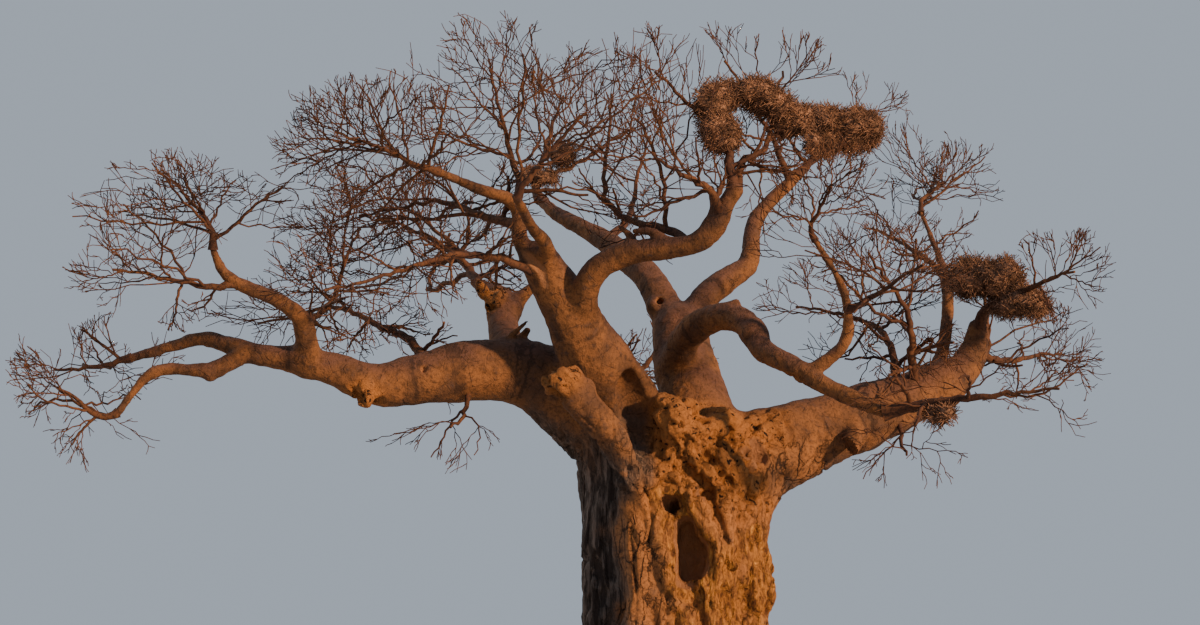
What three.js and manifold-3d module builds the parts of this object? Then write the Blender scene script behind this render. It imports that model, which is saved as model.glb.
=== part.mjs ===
// A bare African baobab in the dry season: a hollow, flared trunk, thick crooked boughs,
// open masses of leafless twigs and five stick nests. Millimetres, +Z up.
// The origin is the middle of the flat cut at ground level. +X is to the right and +Y away
// from someone who looks at the tree's front.
import * as THREE from "three";
import { mergeVertices } from "three/addons/utils/BufferGeometryUtils.js";
import Module from "manifold-3d";

const wasm = await Module();
wasm.setup();

// The gap between touching pieces, and how near two corners count as one
const SEAT_GAP = 0.3;
const WELD = 1e-3;

// Trunk: height, middle across, middle in depth, half width and half depth
const TRUNK_SIDES = 30;
const TRUNK_RINGS = 10;
const RING_CROWDING = 1.25;
const TRUNK_PROFILE = [
  [0, 0, 0, 2900, 2750],
  [450, -20, 0, 2560, 2450],
  [1300, -60, 0, 2300, 2220],
  [2700, -110, 0, 2080, 2040],
  [4600, -150, 0, 1900, 1930],
  [6000, -110, 0, 1930, 1960],
  [7200, -10, 0, 2130, 2040],
  [8000, 30, 40, 2260, 1980],
  [8700, 60, 80, 1980, 1640],
  [9150, 60, 100, 1300, 1050],
];
// Folds that run down the trunk: where round it, how far out, how wide, from and to what height
const TRUNK_FOLDS = [
  { turn: 248, out: 300, spread: 15, from: 0, to: 8200 },
  { turn: 296, out: 170, spread: 13, from: 0, to: 7600 },
  { turn: 330, out: 190, spread: 14, from: 0, to: 7000 },
  { turn: 12, out: 200, spread: 16, from: 0, to: 6400 },
  { turn: 58, out: 230, spread: 15, from: 0, to: 7600 },
  { turn: 104, out: 180, spread: 17, from: 0, to: 7000 },
  { turn: 150, out: 240, spread: 14, from: 0, to: 7800 },
  { turn: 205, out: 200, spread: 15, from: 0, to: 7400 },
];
// How much further each fold stands out at the ground, as a root's foot, and how high that reaches
const ROOT_FOOT_OUT = 420;
const ROOT_FOOT_HEIGHT = 900;
const FOLD_FADE = 1100;

// The main ribs laid on the trunk's front, beside its tall hollow, from the top down
const RIB_SIDES = 5;
const RIBS = [
  {
    radii: [250, 250, 270, 300, 300, 200],
    points: [
      [-980, -1950, 7500], [-940, -1990, 6500], [-860, -1970, 5350],
      [-1020, -1980, 3900], [-1250, -2060, 2100], [-1500, -2350, 300],
    ],
  },
  {
    radii: [200, 200, 200, 220, 300, 200],
    points: [
      [-620, -2010, 7000], [-420, -2080, 5900], [-260, -2020, 5200],
      [120, -1980, 4650], [320, -2060, 2700], [400, -2400, 300],
    ],
  },
  {
    radii: [150, 220, 190, 160, 220],
    points: [
      [-640, -1980, 7350], [200, -2120, 7350], [620, -2010, 6500],
      [700, -1920, 5600], [720, -1950, 4300],
    ],
  },
];

// Lumps on the trunk and hollows in it: middle and half sizes
const LUMP_DETAIL = 1;
const BURLS = [
  { at: [-260, -1720, 8850], half: [560, 520, 620] },
  { at: [1200, 1450, 4900], half: [500, 450, 700] },
];
const HOLLOWS = [
  { at: [200, -1950, 6000], half: [360, 820, 860] },
  { at: [-200, -2080, 7080], half: [210, 260, 250] },
  { at: [1640, -1260, 8270], half: [260, 520, 420] },
  { at: [120, 2050, 4050], half: [250, 480, 420] },
];

// Limbs, from the trunk outwards: radius at the foot and the tip, and the turning points between
const LIMB_SIDES = 8;
const THIN_LIMB_SIDES = 6;
const THIN_LIMB_RADIUS = 300;
const LIMB_STEP = 760;
const LIMBS = [
  {
    name: "left_bough",
    radius: [1100, 290],
    way: [
      [-600, -100, 7950], [-1900, -300, 9150], [-3150, -600, 10000], [-4300, -900, 10080],
      [-5400, -1200, 9880], [-6600, -1500, 9700], [-7400, -1700, 9980], [-8200, -1800, 10200],
    ],
  },
  {
    name: "right_bough",
    radius: [1120, 500],
    way: [
      [600, 200, 7850], [2200, 500, 8500], [3200, 800, 8900],
      [4200, 1100, 9300], [6100, 1800, 10100],
    ],
    knob: { radius: [290, 200], way: [[4080, 1000, 9220], [3880, 0, 8700], [3780, -330, 8380]] },
  },
  {
    name: "middle_bough",
    radius: [980, 560],
    way: [[500, 200, 8100], [400, 600, 9500], [200, 1000, 10500], [100, 1300, 11300]],
  },
  {
    name: "centre_bough",
    radius: [1000, 440],
    way: [
      [-500, -300, 8000], [-1400, -1200, 9600], [-2000, -1800, 10500],
      [-2500, -2300, 11400], [-3000, -2700, 12200],
    ],
  },
  {
    name: "back_bough",
    radius: [820, 260],
    way: [[0, 600, 8000], [-300, 2300, 9200], [-900, 4000, 9900], [-1100, 5400, 10400]],
  },
  {
    name: "broken_bough",
    radius: [520, 300],
    way: [[-540, -1500, 6700], [-800, -2100, 7600], [-1600, -2550, 8600], [-2430, -2900, 9480]],
  },
  {
    name: "rear_left_bough",
    radius: [500, 280],
    way: [[-3500, -400, 9950], [-3850, 900, 11000], [-4000, 1900, 12100]],
  },
  {
    name: "left_low_bough",
    radius: [270, 80],
    way: [
      [-8150, -1800, 10190], [-9000, -1800, 10300], [-10300, -1400, 10700],
      [-10900, -1200, 10600], [-12000, -1100, 10300],
    ],
  },
  {
    name: "left_hook_bough",
    radius: [190, 80],
    way: [
      [-9400, -1800, 10300], [-10000, -2000, 9950], [-10900, -2400, 9900],
      [-11250, -2600, 9750], [-11900, -2900, 8850],
    ],
  },
  {
    name: "left_riser",
    radius: [270, 80],
    way: [
      [-7950, -1750, 10080], [-8100, -2400, 11000], [-8500, -2700, 11300],
      [-9600, -3200, 11800], [-9900, -3300, 12400],
    ],
  },
  {
    name: "arching_bough",
    radius: [290, 180],
    way: [
      [-1950, -2050, 10900], [-2050, -2700, 11400], [-1800, -3100, 11900], [-1200, -3400, 12200],
      [200, -4000, 12300], [700, -4200, 12600], [900, -4300, 13100], [1100, -4300, 13400],
    ],
  },
  {
    name: "centre_left_limb",
    radius: [200, 80],
    way: [
      [-2900, -2700, 11950], [-3400, -2800, 12600], [-3500, -2900, 13350],
      [-4300, -3500, 13600], [-5100, -4250, 13800],
    ],
  },
  {
    name: "centre_front_limb",
    radius: [190, 80],
    way: [[-2800, -2750, 12050], [-2850, -3400, 12400], [-3100, -4200, 12600], [-3400, -6000, 12900]],
  },
  {
    name: "hooped_bough",
    radius: [370, 270],
    way: [
      [-50, 750, 10400], [300, -500, 11000], [800, -1100, 11200],
      [1300, -1600, 11100], [1600, -2000, 10700],
    ],
  },
  {
    name: "hooped_run",
    radius: [265, 150],
    way: [
      [1580, -1970, 10740], [1800, -2300, 10300], [2100, -2600, 10100],
      [3000, -3200, 9450], [4200, -3800, 8800],
    ],
  },
  {
    name: "hooped_riser",
    radius: [160, 60],
    way: [
      [2650, -2950, 9700], [3400, -3200, 10300], [3500, -3300, 10700],
      [3400, -3500, 11400], [2750, -4100, 12400],
    ],
  },
  {
    name: "rear_bough",
    radius: [420, 130],
    way: [
      [50, 1350, 11100], [-200, 1800, 11900], [-600, 2400, 12700],
      [-1600, 3900, 13850], [-2800, 5300, 14800], [-3200, 6000, 15300],
    ],
  },
  {
    name: "upright_bough",
    radius: [360, 120],
    way: [
      [250, 1300, 11050], [600, 1600, 12000], [1100, 1900, 12500], [1700, 2200, 12950],
      [1900, 2500, 14050], [2900, 2800, 15200],
    ],
  },
  {
    name: "right_bough_end",
    radius: [470, 240],
    way: [[6000, 1780, 10070], [6600, 2000, 10500], [6900, 2100, 11000], [7000, 2200, 11500]],
  },
  {
    name: "right_far_riser",
    radius: [180, 60],
    way: [
      [5850, 1800, 10150], [6200, 2300, 11100], [6400, 2900, 12600],
      [6250, 3300, 13400], [5900, 3700, 14500],
    ],
  },
];

// Stick nests: each is a heap of lumps, with the middle and half sizes of every lump
const NEST_ROUGHNESS = 0.16;
const NEST_SEED = 500;
const NESTS = [
  {
    name: "top_left_nest",
    lumps: [
      { at: [620, -4200, 15180], half: [480, 460, 470] },
      { at: [1250, -3950, 15560], half: [680, 500, 340] },
      { at: [1880, -3550, 15460], half: [560, 640, 380] },
      { at: [2400, -3150, 15130], half: [500, 460, 400] },
      { at: [820, -4200, 14650], half: [480, 440, 380] },
    ],
  },
  {
    name: "top_right_nest",
    lumps: [
      { at: [3600, 3150, 16550], half: [560, 500, 420] },
      { at: [4350, 3380, 16400], half: [720, 600, 540] },
      { at: [3550, 3050, 16000], half: [520, 500, 330] },
    ],
  },
  {
    name: "far_right_nest",
    lumps: [
      { at: [6650, 1200, 12500], half: [560, 520, 470] },
      { at: [7300, 950, 12450], half: [660, 580, 480] },
      { at: [7900, 750, 11850], half: [640, 500, 400] },
      { at: [7350, 1050, 11780], half: [360, 420, 300] },
    ],
  },
  { name: "low_right_nest", lumps: [{ at: [5300, -4200, 8720], half: [360, 380, 260] }] },
  {
    name: "centre_nest",
    lumps: [
      { at: [-2500, -2600, 14500], half: [360, 360, 300] },
      { at: [-2950, -2680, 14000], half: [600, 360, 230] },
    ],
  },
];

// Twig masses. Each grows from one stem, which leaves a limb at the first point of its way and
// runs on to the middle of the mass. reach is the half size of the space that the mass keeps,
// and lift says how much its twigs turn up, or down where it is below nought.
const STEM_SIDES = 4;
const STEM_STEP = 520;
const STEM_ON = 0.5;
const SLEEVE = 750;
const MASSES = [
  {
    name: "left_tip_twigs", seed: 11, twigs: 6, lift: 0.05, radius: [80, 44],
    way: [[-11900, -1110, 10330], [-12400, -1000, 10200]],
    at: [-13000, -800, 10150], reach: [1500, 1700, 750],
  },
  {
    name: "left_hook_twigs", seed: 12, twigs: 6, lift: -0.1, radius: [80, 44],
    way: [[-11850, -2860, 8920], [-12100, -2900, 8800], [-12500, -3000, 9000]],
    at: [-12700, -3000, 9200], reach: [1300, 1500, 650],
  },
  {
    name: "left_high_twigs", seed: 13, twigs: 8, lift: 0.15, radius: [80, 44],
    way: [[-9870, -3290, 12320], [-9900, -3400, 12700]],
    at: [-10100, -3400, 13100], reach: [2100, 2200, 1050],
  },
  {
    name: "left_side_twigs", seed: 14, twigs: 6, lift: 0.05, radius: [90, 44],
    way: [[-9300, -3080, 11640], [-10000, -3400, 11520], [-10500, -3600, 11600]],
    at: [-11100, -3800, 11700], reach: [1500, 1800, 850],
  },
  {
    name: "inner_riser_twigs", seed: 15, twigs: 7, lift: 0.15, radius: [90, 44],
    way: [[-8080, -2200, 10700], [-7900, -1600, 11100], [-7600, -900, 11600]],
    at: [-7300, 400, 13100], reach: [1800, 1900, 1250],
  },
  {
    name: "inner_low_twigs", seed: 16, twigs: 7, lift: 0.05, radius: [120, 44],
    way: [[-5300, -1150, 9950], [-5900, -400, 10800], [-6500, 400, 11200], [-7800, 1800, 11900]],
    at: [-8900, 2600, 11800], reach: [2000, 1900, 1000],
  },
  {
    name: "rear_left_twigs", seed: 17, twigs: 7, lift: 0.15, radius: [170, 44],
    way: [[-3980, 1800, 12000], [-4400, 2400, 12400], [-5100, 4200, 13500]],
    at: [-6400, 5700, 14500], reach: [2300, 2400, 1400],
  },
  {
    name: "centre_left_twigs", seed: 18, twigs: 7, lift: 0.1, radius: [80, 44],
    way: [[-5060, -4210, 13790], [-5500, -4450, 13900]],
    at: [-6300, -4600, 14250], reach: [2000, 2400, 1250],
  },
  {
    name: "centre_low_twigs", seed: 19, twigs: 7, lift: 0.1, radius: [110, 44],
    way: [[-3480, -2830, 12950], [-4100, -2300, 13200], [-5300, -1100, 13800]],
    at: [-6200, -700, 13700], reach: [1900, 2000, 1100],
  },
  {
    name: "long_left_twigs", seed: 20, twigs: 7, lift: -0.05, radius: [110, 44],
    way: [[-3000, -2750, 11900], [-3900, -3300, 12150], [-5000, -4700, 11900]],
    at: [-6500, -5700, 11200], reach: [1800, 2000, 1100],
  },
  {
    name: "centre_top_twigs", seed: 21, twigs: 9, lift: 0.3, radius: [100, 44],
    way: [[-3500, -2880, 13250], [-3420, -2750, 13800], [-3600, -2600, 14400]],
    at: [-3900, -2500, 15650], reach: [1800, 2200, 1650],
  },
  {
    name: "front_twigs", seed: 22, twigs: 7, lift: 0.2, radius: [80, 44],
    way: [[-3380, -5950, 12890], [-3200, -6200, 13200]],
    at: [-2600, -6500, 13900], reach: [1900, 2300, 1500],
  },
  {
    name: "rear_top_twigs", seed: 23, twigs: 8, lift: 0.25, radius: [120, 44],
    way: [[-3170, 5940, 15260], [-3300, 6200, 15600]],
    at: [-2900, 6500, 17200], reach: [2200, 2300, 1850],
  },
  {
    name: "rear_far_twigs", seed: 24, twigs: 7, lift: 0.25, radius: [120, 44],
    way: [[-1600, 3900, 13850], [-1100, 5000, 14500], [-900, 6200, 15300]],
    at: [-600, 7200, 16700], reach: [1800, 2200, 1500],
  },
  {
    name: "arching_side_twigs", seed: 25, twigs: 7, lift: 0.3, radius: [110, 44],
    way: [[150, -3980, 12300], [-100, -3600, 12600], [-1300, -2600, 13200], [-1600, -2300, 13700]],
    at: [-1500, -1900, 15300], reach: [1600, 2000, 1600],
  },
  {
    name: "arching_inner_twigs", seed: 26, twigs: 6, lift: 0.15, radius: [110, 44],
    way: [[800, -4250, 12850], [600, -4700, 13250]],
    at: [-200, -5400, 13600], reach: [1300, 1700, 1100],
  },
  {
    name: "arching_tip_twigs", seed: 27, twigs: 8, lift: 0.2, radius: [120, 44],
    way: [[1060, -4300, 13380], [1000, -4300, 13900], [900, -4200, 14400]],
    at: [-100, -4300, 15500], reach: [1400, 2000, 1100],
  },
  {
    name: "arching_fork_twigs", seed: 28, twigs: 6, lift: 0.25, radius: [100, 44],
    way: [[1130, -4280, 13380], [1300, -3900, 14100], [1750, -3400, 14450]],
    at: [2100, -2900, 15900], reach: [1300, 1800, 950],
  },
  {
    name: "upright_fork_twigs", seed: 29, twigs: 7, lift: 0.25, radius: [90, 44],
    way: [[2750, 2740, 15060], [2500, 2300, 15500], [2300, 1800, 15800]],
    at: [1500, 1000, 17000], reach: [1500, 2000, 1000],
  },
  {
    name: "upright_tip_twigs", seed: 30, twigs: 8, lift: 0.2, radius: [110, 44],
    way: [[2890, 2800, 15190], [3400, 3000, 15700]],
    at: [4400, 3900, 16800], reach: [1500, 2000, 1100],
  },
  {
    name: "hooped_riser_twigs", seed: 31, twigs: 6, lift: 0.1, radius: [60, 44],
    way: [[2770, -4080, 12370], [2650, -4300, 12600]],
    at: [2800, -4700, 12900], reach: [1300, 1900, 1150],
  },
  {
    name: "hooped_side_twigs", seed: 32, twigs: 6, lift: 0.05, radius: [80, 44],
    way: [[3480, -3380, 11000], [3900, -3800, 11200]],
    at: [4500, -4700, 11500], reach: [1300, 1800, 1000],
  },
  {
    name: "right_near_twigs", seed: 33, twigs: 6, lift: 0.1, radius: [130, 44],
    way: [[5500, 1400, 9950], [5300, 800, 10500], [5200, 300, 11400]],
    at: [4500, -600, 12300], reach: [1400, 1800, 1100],
  },
  {
    name: "right_inner_twigs", seed: 34, twigs: 6, lift: 0.1, radius: [120, 44],
    way: [[5050, 1500, 9800], [5000, 2000, 10900], [4700, 2700, 11600]],
    at: [3500, 4000, 12200], reach: [1500, 1800, 1100],
  },
  {
    name: "right_far_twigs", seed: 35, twigs: 7, lift: 0.25, radius: [60, 44],
    way: [[5910, 3690, 14470], [5950, 3900, 14800]],
    at: [6200, 4200, 15100], reach: [1500, 2000, 1150],
  },
  {
    name: "right_rear_twigs", seed: 36, twigs: 7, lift: 0.15, radius: [110, 44],
    way: [[6400, 2850, 12450], [6300, 4000, 13200]],
    at: [5300, 6400, 14500], reach: [1800, 2200, 1400],
  },
  {
    name: "right_high_twigs", seed: 37, twigs: 7, lift: 0.1, radius: [150, 44],
    way: [[6980, 2150, 11350], [7100, 1800, 11800], [7500, 1100, 12000]],
    at: [8300, -300, 12200], reach: [1400, 1800, 950],
  },
  {
    name: "right_low_twigs", seed: 38, twigs: 6, lift: 0.05, radius: [110, 44],
    way: [[6900, 2120, 11050], [7400, 2600, 10800]],
    at: [8800, 3800, 11100], reach: [1400, 1800, 1000],
  },
  {
    name: "hooped_tip_twigs", seed: 39, twigs: 6, lift: 0, radius: [140, 44],
    way: [[4170, -3790, 8815], [4700, -4000, 8900], [5500, -4300, 9000]],
    at: [7000, -4900, 9100], reach: [1300, 1600, 650],
  },
  {
    name: "right_hanging_twigs", seed: 40, twigs: 5, lift: -0.35, radius: [70, 44],
    way: [[5100, 1100, 9500], [5000, 700, 8900]],
    at: [5000, 200, 8500], reach: [1400, 1500, 600],
  },
  {
    name: "left_hanging_twigs", seed: 41, twigs: 6, lift: -0.35, radius: [80, 44],
    way: [[-4500, -1000, 9800], [-4600, -1500, 9250]],
    at: [-4700, -2000, 8850], reach: [2000, 1400, 620],
  },
  {
    name: "back_twigs", seed: 42, twigs: 7, lift: 0.1, radius: [250, 44],
    way: [[-1110, 5370, 10390], [-1150, 6100, 10650]],
    at: [-1000, 7500, 11200], reach: [2000, 2300, 1300],
  },
];

// How twigs branch: length as a share of the mass's or the parent's, thickness as a share of
// the parent's, and the angle in degrees at which a side twig leaves
const ORDERS = [
  { steps: 3, length: 1.15, thickness: 0.36, spread: 52 },
  { steps: 1, count: 2, length: 0.5, thickness: 0.5, spread: 50 },
];
const TWIG_SIDES = 3;
const BLUNTNESS = 0.7;
const LENGTH_DRAW = [0.75, 1.2];
const SPREAD_DRAW = 12;
const GOLDEN_TURN = 137.5;
const NEXT_TURN = 60;
// How much a twig bends from step to step, turns up with its mass's lift, and is drawn outwards
const WANDER = 0.34;
const FIRST_BEND = 0.3;
const BEND_PER_TRY = 0.5;
const STEP_LIFT = 0.3;
const OUTWARD = 0.35;
const TRIES = 5;
// Where side twigs sit: how deep in the parent, how near a step's end, and the first and last
const FOOT_DEPTH = 0.55;
const STEP_SEAT = 0.2;
const FIRST_SEAT = 0.5;
const LAST_SEAT = 0.6;
// What a twig keeps clear of: other masses' space, limbs and nests, tested at every probe
const SPACE_MARGIN = 0.06;
const LIMB_CLEARANCE = 70;
const NEST_CLEARANCE = 1.2;
const PROBE_STEP = 160;

// Seeded draws, the same on every run
const DRAW_SPAN = 4294967296;
const DRAW_FACTOR = 1664525;
const DRAW_STEP = 1013904223;
const SEED_FACTOR = 69069;
const SEED_STEP = 7919;

const UP = new THREE.Vector3(0, 0, 1);
const SUBSTANCES = {
  bark: { color: 0x8a6044, roughness: 0.86, metalness: 0 },
  twig: { color: 0x6b4534, roughness: 0.9, metalness: 0 },
  stick: { color: 0x4a3124, roughness: 0.95, metalness: 0 },
};

class Draws {
  constructor(seed) {
    this.state = seed % DRAW_SPAN;
    this.next();
    this.next();
  }

  next() {
    this.state = (DRAW_FACTOR * this.state + DRAW_STEP) % DRAW_SPAN;
    return this.state / DRAW_SPAN;
  }

  between(low, high) {
    return low + (high - low) * this.next();
  }
}

function vector(values) {
  return new THREE.Vector3(...values);
}

function radians(degrees) {
  return THREE.MathUtils.degToRad(degrees);
}

/** Points at even steps along the smooth curve through the turning points of a way. */
function smoothWay(way, step) {
  const curve = new THREE.CatmullRomCurve3(way.map(vector), false, "centripetal");
  const count = Math.max(2, Math.ceil(curve.getLength() / step));
  return curve.getSpacedPoints(count);
}

/** The radius at each of count + 1 stations between a foot radius and a tip radius. */
function taper(count, [foot, tip]) {
  return Array.from({ length: count + 1 }, (_, i) => foot + ((tip - foot) * i) / count);
}

/** A direction square to another, as near upright as it can be. */
function squareTo(along) {
  const across = Math.abs(along.z) > 0.9 ? new THREE.Vector3(1, 0, 0) : UP.clone();
  return across.addScaledVector(along, -across.dot(along)).normalize();
}

/** At each point of a run, the two directions square to it, turned as little as possible. */
function framesAlong(points) {
  const last = points.length - 1;
  let across = null;
  return points.map((point, i) => {
    const along = new THREE.Vector3().subVectors(points[Math.min(i + 1, last)], points[Math.max(i - 1, 0)]);
    along.normalize();
    across = across ? across.clone() : squareTo(along);
    across.addScaledVector(along, -across.dot(along)).normalize();
    return { across, beside: new THREE.Vector3().crossVectors(along, across) };
  });
}

/** A tapering tube with flat or pointed ends along a row of points, as a closed geometry. */
function taperedTube({ points, radii }, sides) {
  const positions = [];
  const faces = [];
  const last = points.length - 1;
  const pointed = radii[last] === 0;
  const frames = framesAlong(points);
  points.forEach((point, i) => {
    const { across, beside } = frames[i];
    if (i === last && pointed) {
      positions.push(point.x, point.y, point.z);
      return;
    }
    for (let k = 0; k < sides; k++) {
      const turn = (2 * Math.PI * k) / sides;
      const corner = point.clone();
      corner.addScaledVector(across, radii[i] * Math.cos(turn));
      corner.addScaledVector(beside, radii[i] * Math.sin(turn));
      positions.push(corner.x, corner.y, corner.z);
    }
  });
  for (let i = 0; i < last; i++) {
    for (let k = 0; k < sides; k++) {
      const here = i * sides + k;
      const next = i * sides + ((k + 1) % sides);
      if (i === last - 1 && pointed) {
        faces.push(here, next, last * sides);
        continue;
      }
      faces.push(here, next, next + sides, here, next + sides, here + sides);
    }
  }
  for (let k = 1; k < sides - 1; k++) {
    faces.push(0, k + 1, k);
    if (!pointed) faces.push(last * sides, last * sides + k, last * sides + k + 1);
  }
  return indexedGeometry(positions, faces);
}

function indexedGeometry(positions, faces) {
  const geometry = new THREE.BufferGeometry();
  geometry.setAttribute("position", new THREE.Float32BufferAttribute(positions, 3));
  geometry.setIndex(faces);
  return geometry;
}

function solidOf(geometry) {
  const bare = new THREE.BufferGeometry();
  bare.setAttribute("position", geometry.getAttribute("position"));
  if (geometry.index) bare.setIndex(geometry.index);
  const merged = mergeVertices(bare, WELD);
  return new wasm.Manifold(
    new wasm.Mesh({
      numProp: 3,
      vertProperties: new Float32Array(merged.attributes.position.array),
      triVerts: new Uint32Array(merged.index.array),
    }),
  );
}

function joined(solids) {
  return solids.reduce((whole, piece) => whole.add(piece));
}

/** The largest body of a solid, with any loose scraps dropped. */
function largestBody(solid) {
  const bodies = solid.decompose();
  return bodies.reduce((best, body) => (body.volume() > best.volume() ? body : best));
}

/** A rounded lump: a many-sided ball stretched to its half sizes. */
function lump({ at, half }, grow = 0) {
  const ball = new THREE.IcosahedronGeometry(1, LUMP_DETAIL);
  ball.scale(half[0] + grow, half[1] + grow, half[2] + grow);
  ball.translate(...at);
  return solidOf(ball);
}

/** The trunk's middle, half width and half depth at a height, read along its profile. */
function trunkSection(height) {
  const next = TRUNK_PROFILE.findIndex((row) => row[0] >= height);
  const above = TRUNK_PROFILE[Math.max(next, 1)];
  const below = TRUNK_PROFILE[Math.max(next, 1) - 1];
  const share = (height - below[0]) / (above[0] - below[0]);
  return above.slice(1).map((value, i) => below[i + 1] + (value - below[i + 1]) * share);
}

/** How far the folds stand out of the trunk at a height and a turn round it in degrees. */
function foldOut(height, turn) {
  let out = 0;
  for (const fold of TRUNK_FOLDS) {
    const away = Math.abs(((turn - fold.turn + 540) % 360) - 180) / fold.spread;
    const fade = THREE.MathUtils.clamp((fold.to - height) / FOLD_FADE, 0, 1);
    const foot = ROOT_FOOT_OUT * Math.exp(-height / ROOT_FOOT_HEIGHT);
    out += (fold.out * fade + foot) * Math.exp(-away * away);
  }
  return out;
}

/** The trunk's loft from the flat cut at the ground to the rounded top in its fork. */
function trunkLoft(grow) {
  const positions = [];
  const faces = [];
  const top = TRUNK_PROFILE[TRUNK_PROFILE.length - 1][0];
  for (let ring = 0; ring <= TRUNK_RINGS; ring++) {
    const height = top * Math.pow(ring / TRUNK_RINGS, RING_CROWDING);
    const [x, y, halfWidth, halfDepth] = trunkSection(height);
    for (let k = 0; k < TRUNK_SIDES; k++) {
      const turn = (360 * k) / TRUNK_SIDES;
      const out = foldOut(height, turn) + grow;
      positions.push(
        x + (halfWidth + out) * Math.cos(radians(turn)),
        y + (halfDepth + out) * Math.sin(radians(turn)),
        height + (ring === TRUNK_RINGS ? grow : 0),
      );
    }
  }
  for (let ring = 0; ring < TRUNK_RINGS; ring++) {
    for (let k = 0; k < TRUNK_SIDES; k++) {
      const here = ring * TRUNK_SIDES + k;
      const next = ring * TRUNK_SIDES + ((k + 1) % TRUNK_SIDES);
      faces.push(here, next, next + TRUNK_SIDES, here, next + TRUNK_SIDES, here + TRUNK_SIDES);
    }
  }
  const rim = TRUNK_RINGS * TRUNK_SIDES;
  for (let k = 1; k < TRUNK_SIDES - 1; k++) {
    faces.push(0, k + 1, k, rim, rim + k, rim + k + 1);
  }
  return solidOf(indexedGeometry(positions, faces));
}

/** A rib of the trunk: a tube along its points, grown at both ends and on every side. */
function ribSolid({ points, radii }, grow) {
  const run = points.map(vector);
  const last = run.length - 1;
  run[0].addScaledVector(run[0].clone().sub(run[1]).normalize(), grow);
  run[last].addScaledVector(run[last].clone().sub(run[last - 1]).normalize(), grow);
  const spread = grow / Math.cos(Math.PI / RIB_SIDES);
  const grown = radii.map((radius) => radius + spread);
  return solidOf(taperedTube({ points: run, radii: grown }, RIB_SIDES));
}

function trunkSolid(grow = 0) {
  const ribs = RIBS.map((rib) => ribSolid(rib, grow));
  const burls = BURLS.map((burl) => lump(burl, grow));
  return joined([trunkLoft(grow), ...ribs, ...burls]);
}

function hollowSolid() {
  return joined(HOLLOWS.map((hollow) => lump(hollow)));
}

/** A limb's points and radii, from its foot inside what carries it to its tip. */
function limbRun({ way, radius }) {
  const points = smoothWay(way, LIMB_STEP);
  return { points, radii: taper(points.length - 1, radius) };
}

/** A limb's solid, grown on every side, and on past its tip, by a small amount. */
function limbSolid(limb, grow = 0) {
  const { points, radii } = limbRun(limb);
  const sides = limb.radius[0] > THIN_LIMB_RADIUS ? LIMB_SIDES : THIN_LIMB_SIDES;
  const last = points.length - 1;
  const along = new THREE.Vector3().subVectors(points[last], points[last - 1]).normalize();
  points[last].addScaledVector(along, grow);
  const spread = grow / Math.cos(Math.PI / sides);
  const tube = solidOf(taperedTube({ points, radii: radii.map((r) => r + spread) }, sides));
  return limb.knob ? tube.add(limbSolid(limb.knob, grow)) : tube;
}

/** The distance from a point to a run of points with radii, less the radius there. */
function clearOf(point, { points, radii }) {
  let best = Infinity;
  const nearest = new THREE.Vector3();
  const span = new THREE.Line3();
  for (let i = 0; i < points.length - 1; i++) {
    span.set(points[i], points[i + 1]);
    const share = span.closestPointToPointParameter(point, true);
    span.at(share, nearest);
    const radius = radii[i] + (radii[i + 1] - radii[i]) * share;
    best = Math.min(best, nearest.distanceTo(point) - radius);
  }
  return best;
}

/** How far out of a lump a point lies, as a share of the lump's half sizes. */
function shareOf(point, { at, reach }) {
  return new THREE.Vector3().subVectors(point, vector(at)).divide(vector(reach)).length();
}

/** The run of a mass's stem: along its way, through the middle of its space and on. */
function stemRun(mass) {
  const middle = vector(mass.at);
  const before = vector(mass.way[mass.way.length - 1]);
  const onward = new THREE.Vector3().subVectors(middle, before).normalize();
  const reach = vector(mass.reach);
  const far = middle.clone().addScaledVector(onward.multiply(reach), STEM_ON);
  const points = smoothWay([...mass.way, mass.at, far.toArray()], STEM_STEP);
  return { points, radii: taper(points.length - 1, mass.radius) };
}

/** Nought at the heart of a mass's space and one at its edge: a lump with a sleeve round the stem. */
function spaceShare(point, mass) {
  return Math.min(shareOf(point, mass), clearOf(point, mass.stem) / SLEEVE);
}

function keepsSpace(point, mass) {
  const share = spaceShare(point, mass);
  return share < 1 && mass.others.every((other) => spaceShare(point, other) > share + SPACE_MARGIN);
}

function keepsClear(point, mass, radius) {
  const clearance = LIMB_CLEARANCE + radius;
  return (
    mass.obstacles.every((run) => clearOf(point, run) > clearance) &&
    mass.nests.every((nest) => shareOf(point, nest) > NEST_CLEARANCE)
  );
}

/** True where every probe along a step stays in the mass's space and clear of all else. */
function stepIsFree(from, to, mass, radius) {
  const count = Math.ceil(from.distanceTo(to) / PROBE_STEP);
  const probe = new THREE.Vector3();
  for (let i = 1; i <= count; i++) {
    probe.lerpVectors(from, to, i / count);
    if (!keepsSpace(probe, mass) || !keepsClear(probe, mass, radius)) return false;
  }
  return true;
}

/** A direction that leaves the parent's at the order's spread, turned round it, lifted and drawn out. */
function sideDirection(along, turn, spread, point, mass) {
  const across = squareTo(along).applyAxisAngle(along, radians(turn));
  const outward = new THREE.Vector3().subVectors(point, vector(mass.at)).divide(vector(mass.reach));
  const direction = along.clone().multiplyScalar(Math.cos(radians(spread)));
  direction.addScaledVector(across, Math.sin(radians(spread)));
  direction.addScaledVector(outward, OUTWARD);
  direction.addScaledVector(UP, mass.lift);
  return direction.normalize();
}

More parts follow.
